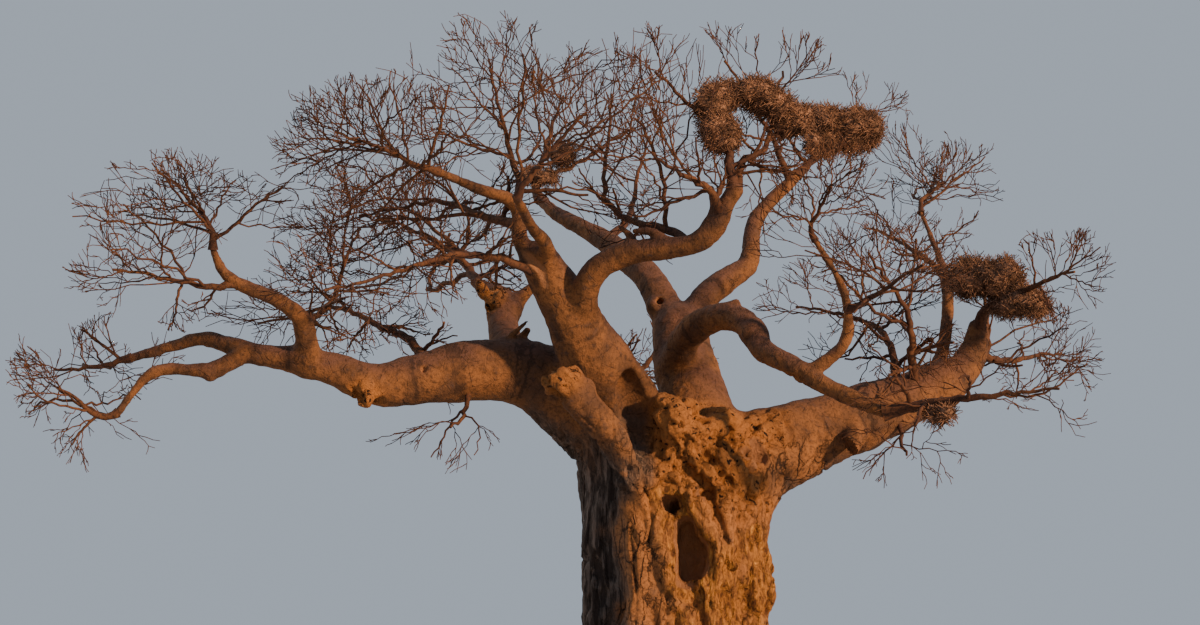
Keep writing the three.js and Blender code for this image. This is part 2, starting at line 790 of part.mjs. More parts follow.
/** The foot of a side twig: just under the middle of the flat side that it leaves its parent by. */
function footOn(parent, share, direction) {
  const i = Math.floor(share);
  const { across, beside } = parent.frames[i];
  const axis = new THREE.Vector3().lerpVectors(parent.points[i], parent.points[i + 1], share - i);
  const radius = parent.radii[i] + (parent.radii[i + 1] - parent.radii[i]) * (share - i);
  let best = null;
  for (let k = 0; k < parent.sides; k++) {
    const turn = (2 * Math.PI * (k + 0.5)) / parent.sides;
    const facing = across.clone().multiplyScalar(Math.cos(turn)).addScaledVector(beside, Math.sin(turn));
    if (!best || facing.dot(direction) > best.dot(direction)) best = facing;
  }
  axis.addScaledVector(best, FOOT_DEPTH * radius * Math.cos(Math.PI / parent.sides));
  return { foot: axis, thick: radius };
}

/** Grows the side twig number k of a parent, and then its own. One with no free way is skipped. */
function growTwig(mass, twigs, parent, k, share, length, order) {
  const rule = ORDERS[order];
  const seed = (parent.seed * SEED_FACTOR + (k + 1) * SEED_STEP) % DRAW_SPAN;
  const draws = new Draws(seed);
  const i = Math.floor(share);
  const along = new THREE.Vector3().subVectors(parent.points[i + 1], parent.points[i]).normalize();
  const reach = length * draws.between(...LENGTH_DRAW);
  const spread = rule.spread + draws.between(-SPREAD_DRAW, SPREAD_DRAW);
  let direction = sideDirection(along, parent.turn + k * GOLDEN_TURN, spread, parent.points[i], mass);
  const { foot, thick } = footOn(parent, share, direction);
  const radius = thick * rule.thickness;
  if (mass.nests.some((nest) => shareOf(foot, nest) < NEST_CLEARANCE)) return;
  const points = [foot];
  for (let step = 0; step < rule.steps; step++) {
    const from = points[step];
    let found = null;
    for (let attempt = 0; attempt < TRIES && !found; attempt++) {
      const bend = WANDER * (step + attempt ? 1 + BEND_PER_TRY * attempt : FIRST_BEND);
      const turned = direction.clone();
      turned.x += bend * draws.between(-1, 1);
      turned.y += bend * draws.between(-1, 1);
      turned.z += bend * draws.between(-1, 1) + STEP_LIFT * mass.lift;
      turned.normalize();
      const to = from.clone().addScaledVector(turned, reach / rule.steps);
      if (!stepIsFree(from, to, mass, radius)) continue;
      found = to;
      direction = turned;
    }
    if (!found) break;
    points.push(found);
  }
  if (points.length < 2) return;
  const radii = taper(points.length - 1, [radius, BLUNTNESS * radius]);
  radii[points.length - 1] = 0;
  const nextTurn = parent.turn + NEXT_TURN * k;
  const twig = { points, radii, frames: framesAlong(points), sides: TWIG_SIDES, seed, turn: nextTurn };
  twigs.push(twig);
  if (order + 1 < ORDERS.length) growSideTwigs(mass, twigs, twig, FIRST_SEAT, length, order + 1);
}

/** Side twigs spaced along a parent from a first place, each near one end of a step. */
function growSideTwigs(mass, twigs, parent, first, length, order) {
  const rule = ORDERS[order];
  const count = parent.twigs ?? rule.count;
  const last = parent.points.length - 1;
  for (let k = 0; k < count; k++) {
    const share = first + ((last - LAST_SEAT - first) * (k + 0.5)) / count;
    const step = Math.floor(share);
    const seat = share - step < 0.5 ? STEP_SEAT : 1 - STEP_SEAT;
    growTwig(mass, twigs, parent, k, step + seat, length * rule.length, order);
  }
}

/** All the twigs of a mass, side by side along the inner part of its stem. */
function growMass(mass) {
  const twigs = [];
  const entry = mass.stem.points.findIndex((point) => shareOf(point, mass) < 1);
  const first = Math.max(1, entry - 1);
  const size = Math.cbrt(mass.reach[0] * mass.reach[1] * mass.reach[2]);
  const stem = { ...mass.stem, frames: framesAlong(mass.stem.points), sides: STEM_SIDES };
  growSideTwigs(mass, twigs, { ...stem, seed: mass.seed, turn: 0, twigs: mass.twigs }, first, size, 0);
  return twigs;
}

function massSolid(mass, carriers) {
  const stem = taperedTube(mass.stem, STEM_SIDES);
  const twigs = growMass(mass).map((twig) => taperedTube(twig, TWIG_SIDES));
  const whole = joined([stem, ...twigs].map(solidOf));
  return largestBody(cutClear(whole, carriers));
}

/** A solid with its neighbours' grown solids taken away, where their boxes meet. */
function cutClear(solid, neighbours) {
  const box = solid.boundingBox();
  const near = neighbours.filter((neighbour) => boxesMeet(box, neighbour.boundingBox()));
  return near.reduce((left, neighbour) => left.subtract(neighbour), solid);
}

function boxesMeet(a, b) {
  return a.min.every((low, i) => low <= b.max[i] && b.min[i] <= a.max[i]);
}

/** A nest's heap of lumps, roughened a little so that it doesn't read as a row of balls. */
function nestSolid(nest, carriers) {
  const draws = new Draws(NEST_SEED + nest.lumps.length);
  const lumps = nest.lumps.map(({ at, half }) => {
    const ball = bareLump();
    const place = ball.getAttribute("position");
    for (let v = 0; v < place.count; v++) {
      const out = 1 + NEST_ROUGHNESS * draws.between(-1, 1);
      place.setXYZ(v, place.getX(v) * out, place.getY(v) * out, place.getZ(v) * out);
    }
    ball.scale(...half);
    ball.translate(...at);
    return solidOf(ball);
  });
  return largestBody(cutClear(joined(lumps), carriers));
}

/** A ball of few faces with its shared corners merged, so that they can be moved together. */
function bareLump() {
  const ball = new THREE.OctahedronGeometry(1, LUMP_DETAIL);
  ball.deleteAttribute("normal");
  ball.deleteAttribute("uv");
  return mergeVertices(ball, WELD);
}

function meshOf(name, solid, substance) {
  const { numProp, vertProperties, triVerts } = solid.getMesh();
  const positions = [];
  for (let i = 0; i < vertProperties.length; i += numProp) {
    positions.push(vertProperties[i], vertProperties[i + 1], vertProperties[i + 2]);
  }
  const geometry = indexedGeometry(positions, Array.from(triVerts));
  geometry.computeVertexNormals();
  const mesh = new THREE.Mesh(geometry, new THREE.MeshStandardMaterial(SUBSTANCES[substance]));
  mesh.name = name;
  return mesh;
}

/** What the twigs keep clear of: the trunk, every limb, every other stem and the nests. */
function setOutMasses() {
  const trunk = {
    points: TRUNK_PROFILE.map(([height, x, y]) => new THREE.Vector3(x, y, height)),
    radii: TRUNK_PROFILE.map((row) => Math.max(row[3], row[4])),
  };
  const limbs = LIMBS.map(limbRun);
  const masses = MASSES.map((mass) => ({ ...mass, stem: stemRun(mass) }));
  const nests = NESTS.flatMap((nest) => nest.lumps.map(({ at, half }) => ({ at, reach: half })));
  for (const mass of masses) {
    mass.others = masses.filter((other) => other !== mass);
    mass.obstacles = [trunk, ...limbs, ...mass.others.map((other) => other.stem)];
    mass.nests = nests;
  }
  return masses;
}

function buildTree() {
  const tree = new THREE.Group();
  const hollows = hollowSolid();
  tree.add(meshOf("trunk", largestBody(trunkSolid().subtract(hollows)), "bark"));
  const carriers = [trunkSolid(SEAT_GAP)];
  for (const limb of LIMBS) {
    const solid = largestBody(cutClear(limbSolid(limb), carriers).subtract(hollows));
    tree.add(meshOf(limb.name, solid, "bark"));
    carriers.push(limbSolid(limb, SEAT_GAP));
  }
  const masses = setOutMasses();
  const stems = [];
  for (const mass of masses) {
    tree.add(meshOf(mass.name, massSolid(mass, [...carriers, ...stems]), "twig"));
    const radii = mass.stem.radii.map((radius) => radius + 2 * SEAT_GAP);
    stems.push(solidOf(taperedTube({ points: mass.stem.points, radii }, STEM_SIDES)));
  }
  for (const nest of NESTS) {
    tree.add(meshOf(nest.name, nestSolid(nest, [...carriers, ...stems]), "stick"));
  }
  return tree;
}

const baobab = buildTree();

export default baobab;
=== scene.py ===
"""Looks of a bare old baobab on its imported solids: bark with relief over one grown surface of
trunk and boughs, sprays of leafless twigs, and shaggy nests of sticks.

Metres, +Z up. The origin is the middle of the flat cut at ground level, +X is to the right and
+Y away from someone who looks at the tree's front.
"""

import logging
import math
from collections.abc import Iterable, Sequence
from dataclasses import dataclass, field
from enum import Enum
from itertools import product

import bpy
import numpy as np
import openvdb
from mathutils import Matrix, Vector


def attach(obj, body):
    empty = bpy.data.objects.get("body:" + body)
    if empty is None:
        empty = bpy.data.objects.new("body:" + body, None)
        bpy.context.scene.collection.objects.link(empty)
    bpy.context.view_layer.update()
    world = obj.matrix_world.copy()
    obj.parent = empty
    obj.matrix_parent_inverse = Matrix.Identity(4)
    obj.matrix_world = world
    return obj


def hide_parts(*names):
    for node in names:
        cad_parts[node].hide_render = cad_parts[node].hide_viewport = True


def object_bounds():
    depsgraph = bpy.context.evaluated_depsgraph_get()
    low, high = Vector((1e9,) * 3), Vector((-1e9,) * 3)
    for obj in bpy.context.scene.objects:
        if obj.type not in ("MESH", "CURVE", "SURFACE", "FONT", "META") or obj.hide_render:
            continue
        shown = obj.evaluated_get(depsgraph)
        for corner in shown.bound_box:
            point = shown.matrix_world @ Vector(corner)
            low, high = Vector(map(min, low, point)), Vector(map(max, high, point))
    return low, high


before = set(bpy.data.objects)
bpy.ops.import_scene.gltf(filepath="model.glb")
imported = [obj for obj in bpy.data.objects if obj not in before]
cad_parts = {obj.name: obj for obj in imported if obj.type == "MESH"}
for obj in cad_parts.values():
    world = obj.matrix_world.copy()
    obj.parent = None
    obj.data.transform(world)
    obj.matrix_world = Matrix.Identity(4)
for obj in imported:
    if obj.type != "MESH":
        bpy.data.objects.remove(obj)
CAD_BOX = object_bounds()

LOG = logging.getLogger("baobab")

Array = np.ndarray
Point = tuple[float, float, float]
Window = tuple[slice, slice, slice]

# What the distance field holds far from any wood, and how far round a limb it is worked out
FAR = 1.0
REACH = 0.42

UP = np.array([0.0, 0.0, 1.0])


class Part(Enum):
    """The pieces that the bark's surface is split into."""

    TRUNK = "trunk_bark"
    LEFT = "left_boughs_bark"
    CENTRE = "centre_boughs_bark"
    MIDDLE = "middle_boughs_bark"
    RIGHT = "right_boughs_bark"
    BACK = "back_bough_bark"


class Spray(Enum):
    """The pieces that the twigs are joined into."""

    LEFT = "left_sprays"
    CENTRE = "centre_sprays"
    TOP = "top_sprays"
    FRONT = "front_sprays"
    RIGHT = "right_sprays"
    REAR = "rear_sprays"


@dataclass(frozen=True)
class Run:
    """A row of turning points, with the radius at its foot and at its tip."""

    way: tuple[Point, ...]
    radius: tuple[float, float]


@dataclass(frozen=True)
class Limb:
    """One tapering limb, and how far along it the trunk's piece gives way to its own."""

    name: str
    part: Part
    radius: tuple[float, float]
    way: tuple[Point, ...]
    cut: float = 0.0
    knob: Run | None = None


@dataclass(frozen=True)
class Lump:
    """A rounded lump: its middle and half sizes."""

    at: Point
    half: Point


@dataclass(frozen=True)
class Nest:
    """One heap of sticks, as the lumps that it fills."""

    name: str
    lumps: tuple[Lump, ...]


@dataclass(frozen=True)
class Mass:
    """One mass of twigs: its stem's way, and the middle and half sizes of the space it keeps."""

    name: str
    spray: Spray
    twigs: int
    lift: float
    radius: tuple[float, float]
    way: tuple[Point, ...]
    at: Point
    reach: Point


@dataclass(frozen=True)
class Fold:
    """A fold down the trunk: where round it in degrees, how far out, how wide, and up to where."""

    turn: float
    out: float
    spread: float
    to: float


@dataclass(frozen=True)
class Detail:
    """A rib laid on the wood or a hollow cut into it, along a row of points with radii."""

    points: tuple[Point, ...]
    radii: tuple[float, ...]
    blend: float = 0.12


# Trunk: height, middle across, middle in depth, half width and half depth
TRUNK_PROFILE = (
    (-0.4, 0, 0, 3.2, 3.05), (0, 0, 0, 2.9, 2.75), (0.45, -0.02, 0, 2.56, 2.45),
    (1.3, -0.06, 0, 2.3, 2.22), (2.7, -0.11, 0, 2.08, 2.04), (4.6, -0.15, 0, 1.9, 1.93),
    (6, -0.11, 0, 1.93, 1.96), (7.2, -0.01, 0, 2.13, 2.04), (8, 0.03, 0.04, 2.26, 1.98),
    (8.7, 0.06, 0.08, 1.98, 1.64), (9.15, 0.06, 0.1, 1.3, 1.05), (9.6, 0.06, 0.1, 0.6, 0.5),
)
TRUNK_TOP = 9.2
TRUNK_FOLDS = (
    Fold(248, 0.26, 15, 8.2), Fold(296, 0.15, 13, 7.6), Fold(330, 0.19, 14, 7),
    Fold(12, 0.2, 16, 6.4), Fold(58, 0.23, 15, 7.6), Fold(104, 0.18, 17, 7),
    Fold(150, 0.24, 14, 7.8), Fold(205, 0.2, 15, 7.4),
)
ROOT_FOOT_OUT = 0.42
ROOT_FOOT_HEIGHT = 0.9
FOLD_FADE = 1.1
# Narrow creases between the folds, from the ground up: where round the trunk, depth and width
CREASES = (
    Fold(228, 0.16, 4, 7.2), Fold(216, 0.13, 3.5, 6.8), Fold(193, 0.15, 4.5, 7.0),
    Fold(178, 0.13, 4, 6.9), Fold(163, 0.12, 4, 7.2), Fold(131, 0.16, 5, 7.0),
    Fold(118, 0.11, 4, 6.4), Fold(82, 0.15, 5, 7.1), Fold(38, 0.14, 4.5, 6.6),
    Fold(350, 0.13, 4, 6.2), Fold(313, 0.12, 4, 5.6), Fold(283, 0.12, 3.5, 4.6),
)

# The ribs that stand out of the trunk's front, and lumps, stubs and scars on it and the boughs
RIBS = (
    Detail(((-0.98, -1.95, 7.6), (-1.14, -1.95, 7.3), (-0.98, -1.98, 6.7), (-0.91, -2.0, 6.1),
            (-0.86, -1.97, 5.35), (-0.95, -1.97, 4.5), (-1.1, -2.0, 3.2), (-1.3, -2.08, 1.8),
            (-1.5, -2.35, 0.3)), (0.27, 0.21, 0.25, 0.27, 0.27, 0.3, 0.3, 0.3, 0.36)),
    Detail(((-0.64, -2.0, 7.12), (-0.54, -2.08, 6.55), (-0.42, -2.08, 5.9), (-0.26, -2.02, 5.2),
            (0.12, -1.98, 4.65), (0.28, -2.02, 3.6), (0.35, -2.1, 2.0), (0.4, -2.4, 0.3)),
           (0.2, 0.21, 0.19, 0.2, 0.22, 0.25, 0.3, 0.34)),
    Detail(((-0.66, -1.95, 5.7), (-0.62, -2.02, 5.2), (-0.36, -2.05, 4.7), (-0.3, -2.05, 3.8),
            (-0.4, -2.1, 2.4)), (0.12, 0.18, 0.2, 0.22, 0.24)),
    Detail(((-0.64, -1.98, 7.35), (-0.3, -2.1, 7.58), (0.2, -2.12, 7.25), (0.58, -2.02, 6.6),
            (0.74, -1.93, 6.0), (0.62, -1.9, 5.2), (0.72, -1.95, 4.3)),
           (0.15, 0.2, 0.24, 0.18, 0.15, 0.19, 0.24)),
    Detail(((-0.3, -1.88, 7.95), (0.2, -2.0, 8.18), (0.55, -1.98, 7.75), (0.82, -1.9, 7.3),
            (0.98, -1.86, 6.6), (1.1, -1.8, 5.8)), (0.17, 0.2, 0.19, 0.17, 0.14, 0.1)),
    Detail(((0.55, -1.75, 8.5), (0.95, -1.7, 8.0), (1.25, -1.62, 7.4)), (0.16, 0.17, 0.1)),
    Detail(((-0.62, -2.1, 7.95), (-0.6, -2.15, 7.65), (-0.55, -2.1, 7.4)), (0.07, 0.08, 0.1)),
)
LUMPS = (
    Lump((-0.2, -1.78, 8.82), (0.5, 0.58, 0.42)), Lump((-0.36, -1.8, 9.2), (0.3, 0.42, 0.26)),
    Lump((0.08, -1.72, 9.12), (0.34, 0.36, 0.26)), Lump((0.2, -1.85, 8.45), (0.42, 0.42, 0.36)),
    Lump((0.85, -1.05, 8.95), (0.5, 0.42, 0.3)), Lump((0.62, -1.55, 8.7), (0.36, 0.4, 0.34)),
    Lump((-1.05, -2.25, 7.62), (0.34, 0.3, 0.28)), Lump((-0.89, 0.25, 10.22), (0.2, 0.2, 0.19)),
    Lump((1.72, -0.75, 5.45), (0.36, 0.5, 0.6)), Lump((-0.5, 1.55, 11.9), (0.16, 0.2, 0.16)),
    Lump((1.2, 1.45, 4.9), (0.5, 0.45, 0.7)), Lump((-1.75, 0.8, 5.8), (0.35, 0.5, 0.6)),
    Lump((0.3, 1.8, 7.0), (0.6, 0.35, 0.5)), Lump((4.9, 1.2, 9.15), (0.3, 0.35, 0.22)),
    Lump((-2.62, -3.12, 9.52), (0.17, 0.15, 0.15)), Lump((-2.3, -2.82, 9.72), (0.2, 0.16, 0.13)),
    Lump((-2.05, -2.75, 9.45), (0.24, 0.2, 0.2)), Lump((-3.9, 1.5, 11.85), (0.34, 0.28, 0.24)),
    Lump((-3.15, -0.4, 10.3), (0.5, 0.4, 0.36)), Lump((-4.15, -0.5, 10.35), (0.36, 0.4, 0.3)),
    Lump((-2.5, -3.2, 9.75), (0.15, 0.12, 0.12)), Lump((-2.75, -2.85, 9.4), (0.14, 0.14, 0.12)),
)
STUBS = (
    Detail(((-6.45, -1.75, 9.62), (-6.62, -1.85, 9.38), (-6.86, -1.92, 9.24)), (0.2, 0.12, 0.07)),
    Detail(((0.45, -4.1, 12.5), (0.62, -4.2, 13.0), (0.6, -4.2, 13.45)), (0.16, 0.09, 0.06)),
    Detail(((-0.3, -3.8, 12.35), (-0.6, -3.75, 12.62), (-1.0, -3.6, 12.66)), (0.15, 0.1, 0.06)),
    Detail(((-1.15, -3.4, 12.2), (-1.05, -3.4, 12.55), (-1.3, -3.4, 12.8)), (0.14, 0.09, 0.05)),
    Detail(((-3.75, -0.35, 10.3), (-3.5, -0.65, 10.75), (-3.3, -0.75, 11.0)), (0.2, 0.13, 0.08)),
    Detail(((-9.95, -1.95, 9.95), (-10.05, -2.1, 9.75)), (0.17, 0.09)),
    Detail(((1.0, -1.35, 11.35), (1.25, -1.5, 11.5)), (0.12, 0.07)),
    Detail(((-2.4, -2.9, 9.45), (-2.7, -2.95, 9.62), (-2.85, -2.98, 9.64)), (0.24, 0.17, 0.1)),
    Detail(((-4.0, 1.5, 11.9), (-4.3, 1.5, 12.15), (-4.5, 1.42, 12.4)), (0.22, 0.14, 0.08)),
    Detail(((-3.95, 1.7, 11.7), (-4.15, 2.05, 12.2), (-4.6, 2.8, 12.65)), (0.3, 0.24, 0.13), 0.2),
    Detail(((-3.9, 1.7, 11.6), (-3.55, 1.75, 12.1), (-3.1, 1.7, 12.5)), (0.26, 0.16, 0.09), 0.18),
    Detail(((-3.95, -0.3, 10.5), (-3.75, -0.8, 10.75), (-3.3, -1.0, 11.15)), (0.14, 0.09, 0.05)),
)
# Broad recesses, which fall in shade but aren't rotten
RECESSES = (
    Detail(((-0.8, -2.3, 9.35), (-0.78, -2.25, 8.9), (-0.72, -2.35, 8.3), (-0.62, -2.4, 7.85)),
           (0.3, 0.42, 0.42, 0.2), 0.16),
    Detail(((-1.15, -1.75, 9.7), (-0.95, -1.75, 9.2), (-0.8, -1.85, 8.6)), (0.3, 0.4, 0.36), 0.14),
    Detail(((0.42, -2.5, 8.5), (0.5, -2.4, 8.05), (0.72, -2.3, 7.7)), (0.12, 0.16, 0.12), 0.1),
    Detail(((0.9, -2.25, 8.75), (1.1, -2.1, 8.4), (1.25, -2.0, 7.9)), (0.1, 0.12, 0.08), 0.08),
    Detail(((-2.95, -3.05, 9.72), (-2.62, -2.97, 9.58)), (0.08, 0.1), 0.04),
)
# Where boughs have broken off, and how far round that the wood is crusted
BROKEN_ENDS = ((-2.55, -2.95, 9.6), (-4.3, 1.45, 12.1), (-6.8, -1.9, 9.3), (-0.2, -1.9, 9.1))
BROKEN_REACH = 0.6
# The first of the cuts make the tall hollow, whose lips are rubbed to the wood; their gold is
# partly painted sunlight
MAIN_HOLLOW_CUTS = 6
HOLLOWS = (
    Detail(((0.12, -2.45, 6.55), (0.2, -2.45, 6.15), (0.22, -2.45, 5.75), (0.12, -2.45, 5.42)),
           (0.17, 0.31, 0.33, 0.2), 0.06),
    Detail(((0.12, -2.0, 6.6), (0.22, -2.0, 6.15), (0.22, -2.0, 5.75), (0.12, -2.0, 5.45)),
           (0.2, 0.33, 0.34, 0.22), 0.06),
    Detail(((0.2, -1.6, 6.5), (0.25, -1.6, 6.0), (0.22, -1.6, 5.65)), (0.25, 0.34, 0.28), 0.06),
    Detail(((-0.34, -2.42, 7.12), (-0.1, -2.38, 7.0), (0.06, -2.35, 6.88)), (0.1, 0.13, 0.1), 0.05),
    Detail(((-0.3, -2.1, 7.1), (-0.1, -1.85, 7.0), (0.0, -1.55, 6.9)), (0.16, 0.18, 0.17), 0.06),
    Detail(((-0.14, -2.36, 6.85), (-0.1, -2.36, 6.35)), (0.16, 0.14), 0.1),
    Detail(((0.14, -2.32, 7.9), (0.33, -2.3, 7.55), (0.48, -2.2, 7.15)), (0.05, 0.07, 0.05), 0.05),
    Detail(((1.72, -1.35, 8.55), (1.78, -1.3, 8.25), (1.7, -1.32, 7.98)), (0.13, 0.19, 0.12), 0.06),
    Detail(((1.72, -0.95, 8.5), (1.74, -0.9, 8.2)), (0.18, 0.22), 0.06),
    Detail(((1.42, -1.6, 8.2), (1.47, -1.2, 8.25)), (0.08, 0.11), 0.05),
    Detail(((-1.46, -2.62, 7.74), (-1.2, -2.58, 7.62)), (0.035, 0.05), 0.05),
    Detail(((-0.36, 1.2, 12.0), (-0.34, 1.6, 11.97)), (0.07, 0.09), 0.05),
    Detail(((-3.52, -2.98, 12.42), (-3.2, -3.06, 12.18), (-2.95, -3.06, 11.9),
            (-2.86, -2.95, 11.6)),
           (0.07, 0.09, 0.09, 0.06), 0.04),
    Detail(((7.03, 2.22, 11.62), (7.0, 2.2, 11.3)), (0.16, 0.1), 0.05),
    Detail(((-5.4, -1.95, 10.05), (-5.52, -1.7, 9.97)), (0.05, 0.07), 0.05),
    Detail(((-6.62, -2.0, 9.85), (-6.58, -2.02, 9.55)), (0.05, 0.05), 0.05),
    Detail(((2.75, -0.6, 8.25), (2.72, -0.55, 8.02)), (0.05, 0.05), 0.04),
    Detail(((2.35, -0.85, 8.1), (2.38, -0.82, 7.9)), (0.05, 0.06), 0.04),
    Detail(((0.1, 2.5, 4.3), (0.15, 1.9, 4.1), (0.1, 1.8, 3.6)), (0.16, 0.26, 0.18), 0.08),
)

# Limbs, from the trunk outwards: radius at the foot and the tip, and the turning points between
LIMBS = (
    Limb("left_bough", Part.LEFT, (1.1, 0.29), (
        (-0.6, -0.1, 7.95), (-1.9, -0.3, 9.15), (-3.15, -0.6, 10), (-4.3, -0.9, 10.08),
        (-5.4, -1.2, 9.88), (-6.6, -1.5, 9.7), (-7.4, -1.7, 9.98), (-8.2, -1.8, 10.2),
    ), cut=3.3),
    Limb("right_bough", Part.RIGHT, (1.12, 0.5), (
        (0.6, 0.2, 7.85), (2.2, 0.5, 8.5), (3.2, 0.8, 8.9), (4.2, 1.1, 9.3), (6.1, 1.8, 10.1),
    ), cut=2.9, knob=Run(
        ((4.08, 1, 9.22), (3.88, 0, 8.7), (3.78, -0.33, 8.38)), (0.29, 0.2),
    )),
    Limb("middle_bough", Part.MIDDLE, (0.98, 0.56), (
        (0.5, 0.2, 8.1), (0.4, 0.6, 9.5), (0.2, 1, 10.5), (0.1, 1.3, 11.3),
    ), cut=1.95),
    Limb("centre_bough", Part.CENTRE, (1, 0.44), (
        (-0.5, -0.3, 8), (-1.4, -1.2, 9.6), (-2, -1.8, 10.5), (-2.5, -2.3, 11.4), (-3, -2.7, 12.2),
    ), cut=2.5),
    Limb("back_bough", Part.BACK, (0.82, 0.26), (
        (0, 0.6, 8), (-0.3, 2.3, 9.2), (-0.9, 4, 9.9), (-1.1, 5.4, 10.4),
    ), cut=2.2),
    Limb("broken_bough", Part.TRUNK, (0.52, 0.3), (
        (-0.54, -1.5, 6.7), (-0.8, -2.1, 7.6), (-1.6, -2.55, 8.6), (-2.43, -2.9, 9.48),
    )),
    Limb("rear_left_bough", Part.LEFT, (0.5, 0.28), (
        (-3.5, -0.4, 9.95), (-3.85, 0.9, 11), (-4, 1.9, 12.1),
    )),
    Limb("left_low_bough", Part.LEFT, (0.27, 0.08), (
        (-8.15, -1.8, 10.19), (-9, -1.8, 10.3), (-10.3, -1.4, 10.7), (-10.9, -1.2, 10.6),
        (-12, -1.1, 10.3),
    )),
    Limb("left_hook_bough", Part.LEFT, (0.19, 0.08), (
        (-9.4, -1.8, 10.3), (-10, -2, 9.95), (-10.9, -2.4, 9.9), (-11.25, -2.6, 9.75),
        (-11.9, -2.9, 8.85),
    )),
    Limb("left_riser", Part.LEFT, (0.27, 0.08), (
        (-7.95, -1.75, 10.08), (-8.1, -2.4, 11), (-8.5, -2.7, 11.3), (-9.6, -3.2, 11.8),
        (-9.9, -3.3, 12.4),
    )),
    Limb("arching_bough", Part.CENTRE, (0.29, 0.18), (
        (-1.95, -2.05, 10.9), (-2.05, -2.7, 11.4), (-1.8, -3.1, 11.9), (-1.2, -3.4, 12.2),
        (0.2, -4, 12.3), (0.7, -4.2, 12.6), (0.9, -4.3, 13.1), (1.1, -4.3, 13.4),
    )),
    Limb("centre_left_limb", Part.CENTRE, (0.2, 0.08), (
        (-2.9, -2.7, 11.95), (-3.4, -2.8, 12.6), (-3.5, -2.9, 13.35), (-4.3, -3.5, 13.6),
        (-5.1, -4.25, 13.8),
    )),
    Limb("centre_front_limb", Part.CENTRE, (0.19, 0.08), (
        (-2.8, -2.75, 12.05), (-2.85, -3.4, 12.4), (-3.1, -4.2, 12.6), (-3.4, -6, 12.9),
    )),
    Limb("hooped_bough", Part.MIDDLE, (0.37, 0.27), (
        (-0.05, 0.75, 10.4), (0.3, -0.5, 11), (0.8, -1.1, 11.2), (1.3, -1.6, 11.1),
        (1.6, -2, 10.7),
    )),
    Limb("hooped_run", Part.MIDDLE, (0.265, 0.15), (
        (1.58, -1.97, 10.74), (1.8, -2.3, 10.3), (2.1, -2.6, 10.1), (3, -3.2, 9.45),
        (4.2, -3.8, 8.8),
    )),
    Limb("hooped_riser", Part.MIDDLE, (0.16, 0.06), (
        (2.65, -2.95, 9.7), (3.4, -3.2, 10.3), (3.5, -3.3, 10.7), (3.4, -3.5, 11.4),
        (2.75, -4.1, 12.4),
    )),
    Limb("rear_bough", Part.MIDDLE, (0.42, 0.13), (
        (0.05, 1.35, 11.1), (-0.2, 1.8, 11.9), (-0.6, 2.4, 12.7), (-1.6, 3.9, 13.85),
        (-2.8, 5.3, 14.8), (-3.2, 6, 15.3),
    )),
    Limb("upright_bough", Part.MIDDLE, (0.36, 0.12), (
        (0.25, 1.3, 11.05), (0.6, 1.6, 12), (1.1, 1.9, 12.5), (1.7, 2.2, 12.95), (1.9, 2.5, 14.05),
        (2.9, 2.8, 15.2),
    )),
    Limb("right_bough_end", Part.RIGHT, (0.47, 0.24), (
        (6, 1.78, 10.07), (6.6, 2, 10.5), (6.9, 2.1, 11), (7, 2.2, 11.5),
    )),
    Limb("right_far_riser", Part.RIGHT, (0.18, 0.06), (
        (5.85, 1.8, 10.15), (6.2, 2.3, 11.1), (6.4, 2.9, 12.6), (6.25, 3.3, 13.4),
        (5.9, 3.7, 14.5),
    )),
)

# Stick nests: each is a heap of lumps
NESTS = (
    Nest("top_left_nest", (
        Lump((0.62, -4.2, 15.18), (0.48, 0.46, 0.47)),
        Lump((1.25, -3.95, 15.56), (0.68, 0.5, 0.34)),
        Lump((1.88, -3.55, 15.46), (0.56, 0.64, 0.38)),
        Lump((2.4, -3.15, 15.13), (0.5, 0.46, 0.4)),
        Lump((0.82, -4.2, 14.65), (0.48, 0.44, 0.38)),
    )),
    Nest("top_right_nest", (
        Lump((3.6, 3.15, 16.55), (0.56, 0.5, 0.42)),
        Lump((4.35, 3.38, 16.4), (0.72, 0.6, 0.54)),
        Lump((3.55, 3.05, 16), (0.52, 0.5, 0.33)),
    )),
    Nest("far_right_nest", (
        Lump((6.65, 1.2, 12.5), (0.56, 0.52, 0.47)),
        Lump((7.3, 0.95, 12.45), (0.66, 0.58, 0.48)),
        Lump((7.9, 0.75, 11.85), (0.64, 0.5, 0.4)),
        Lump((7.35, 1.05, 11.78), (0.36, 0.42, 0.3)),
    )),
    Nest("low_right_nest", (
        Lump((5.3, -4.2, 8.72), (0.36, 0.38, 0.26)),
    )),
    Nest("centre_nest", (
        Lump((-2.5, -2.6, 14.5), (0.36, 0.36, 0.3)),
        Lump((-2.95, -2.68, 14), (0.6, 0.36, 0.23)),
    )),
)

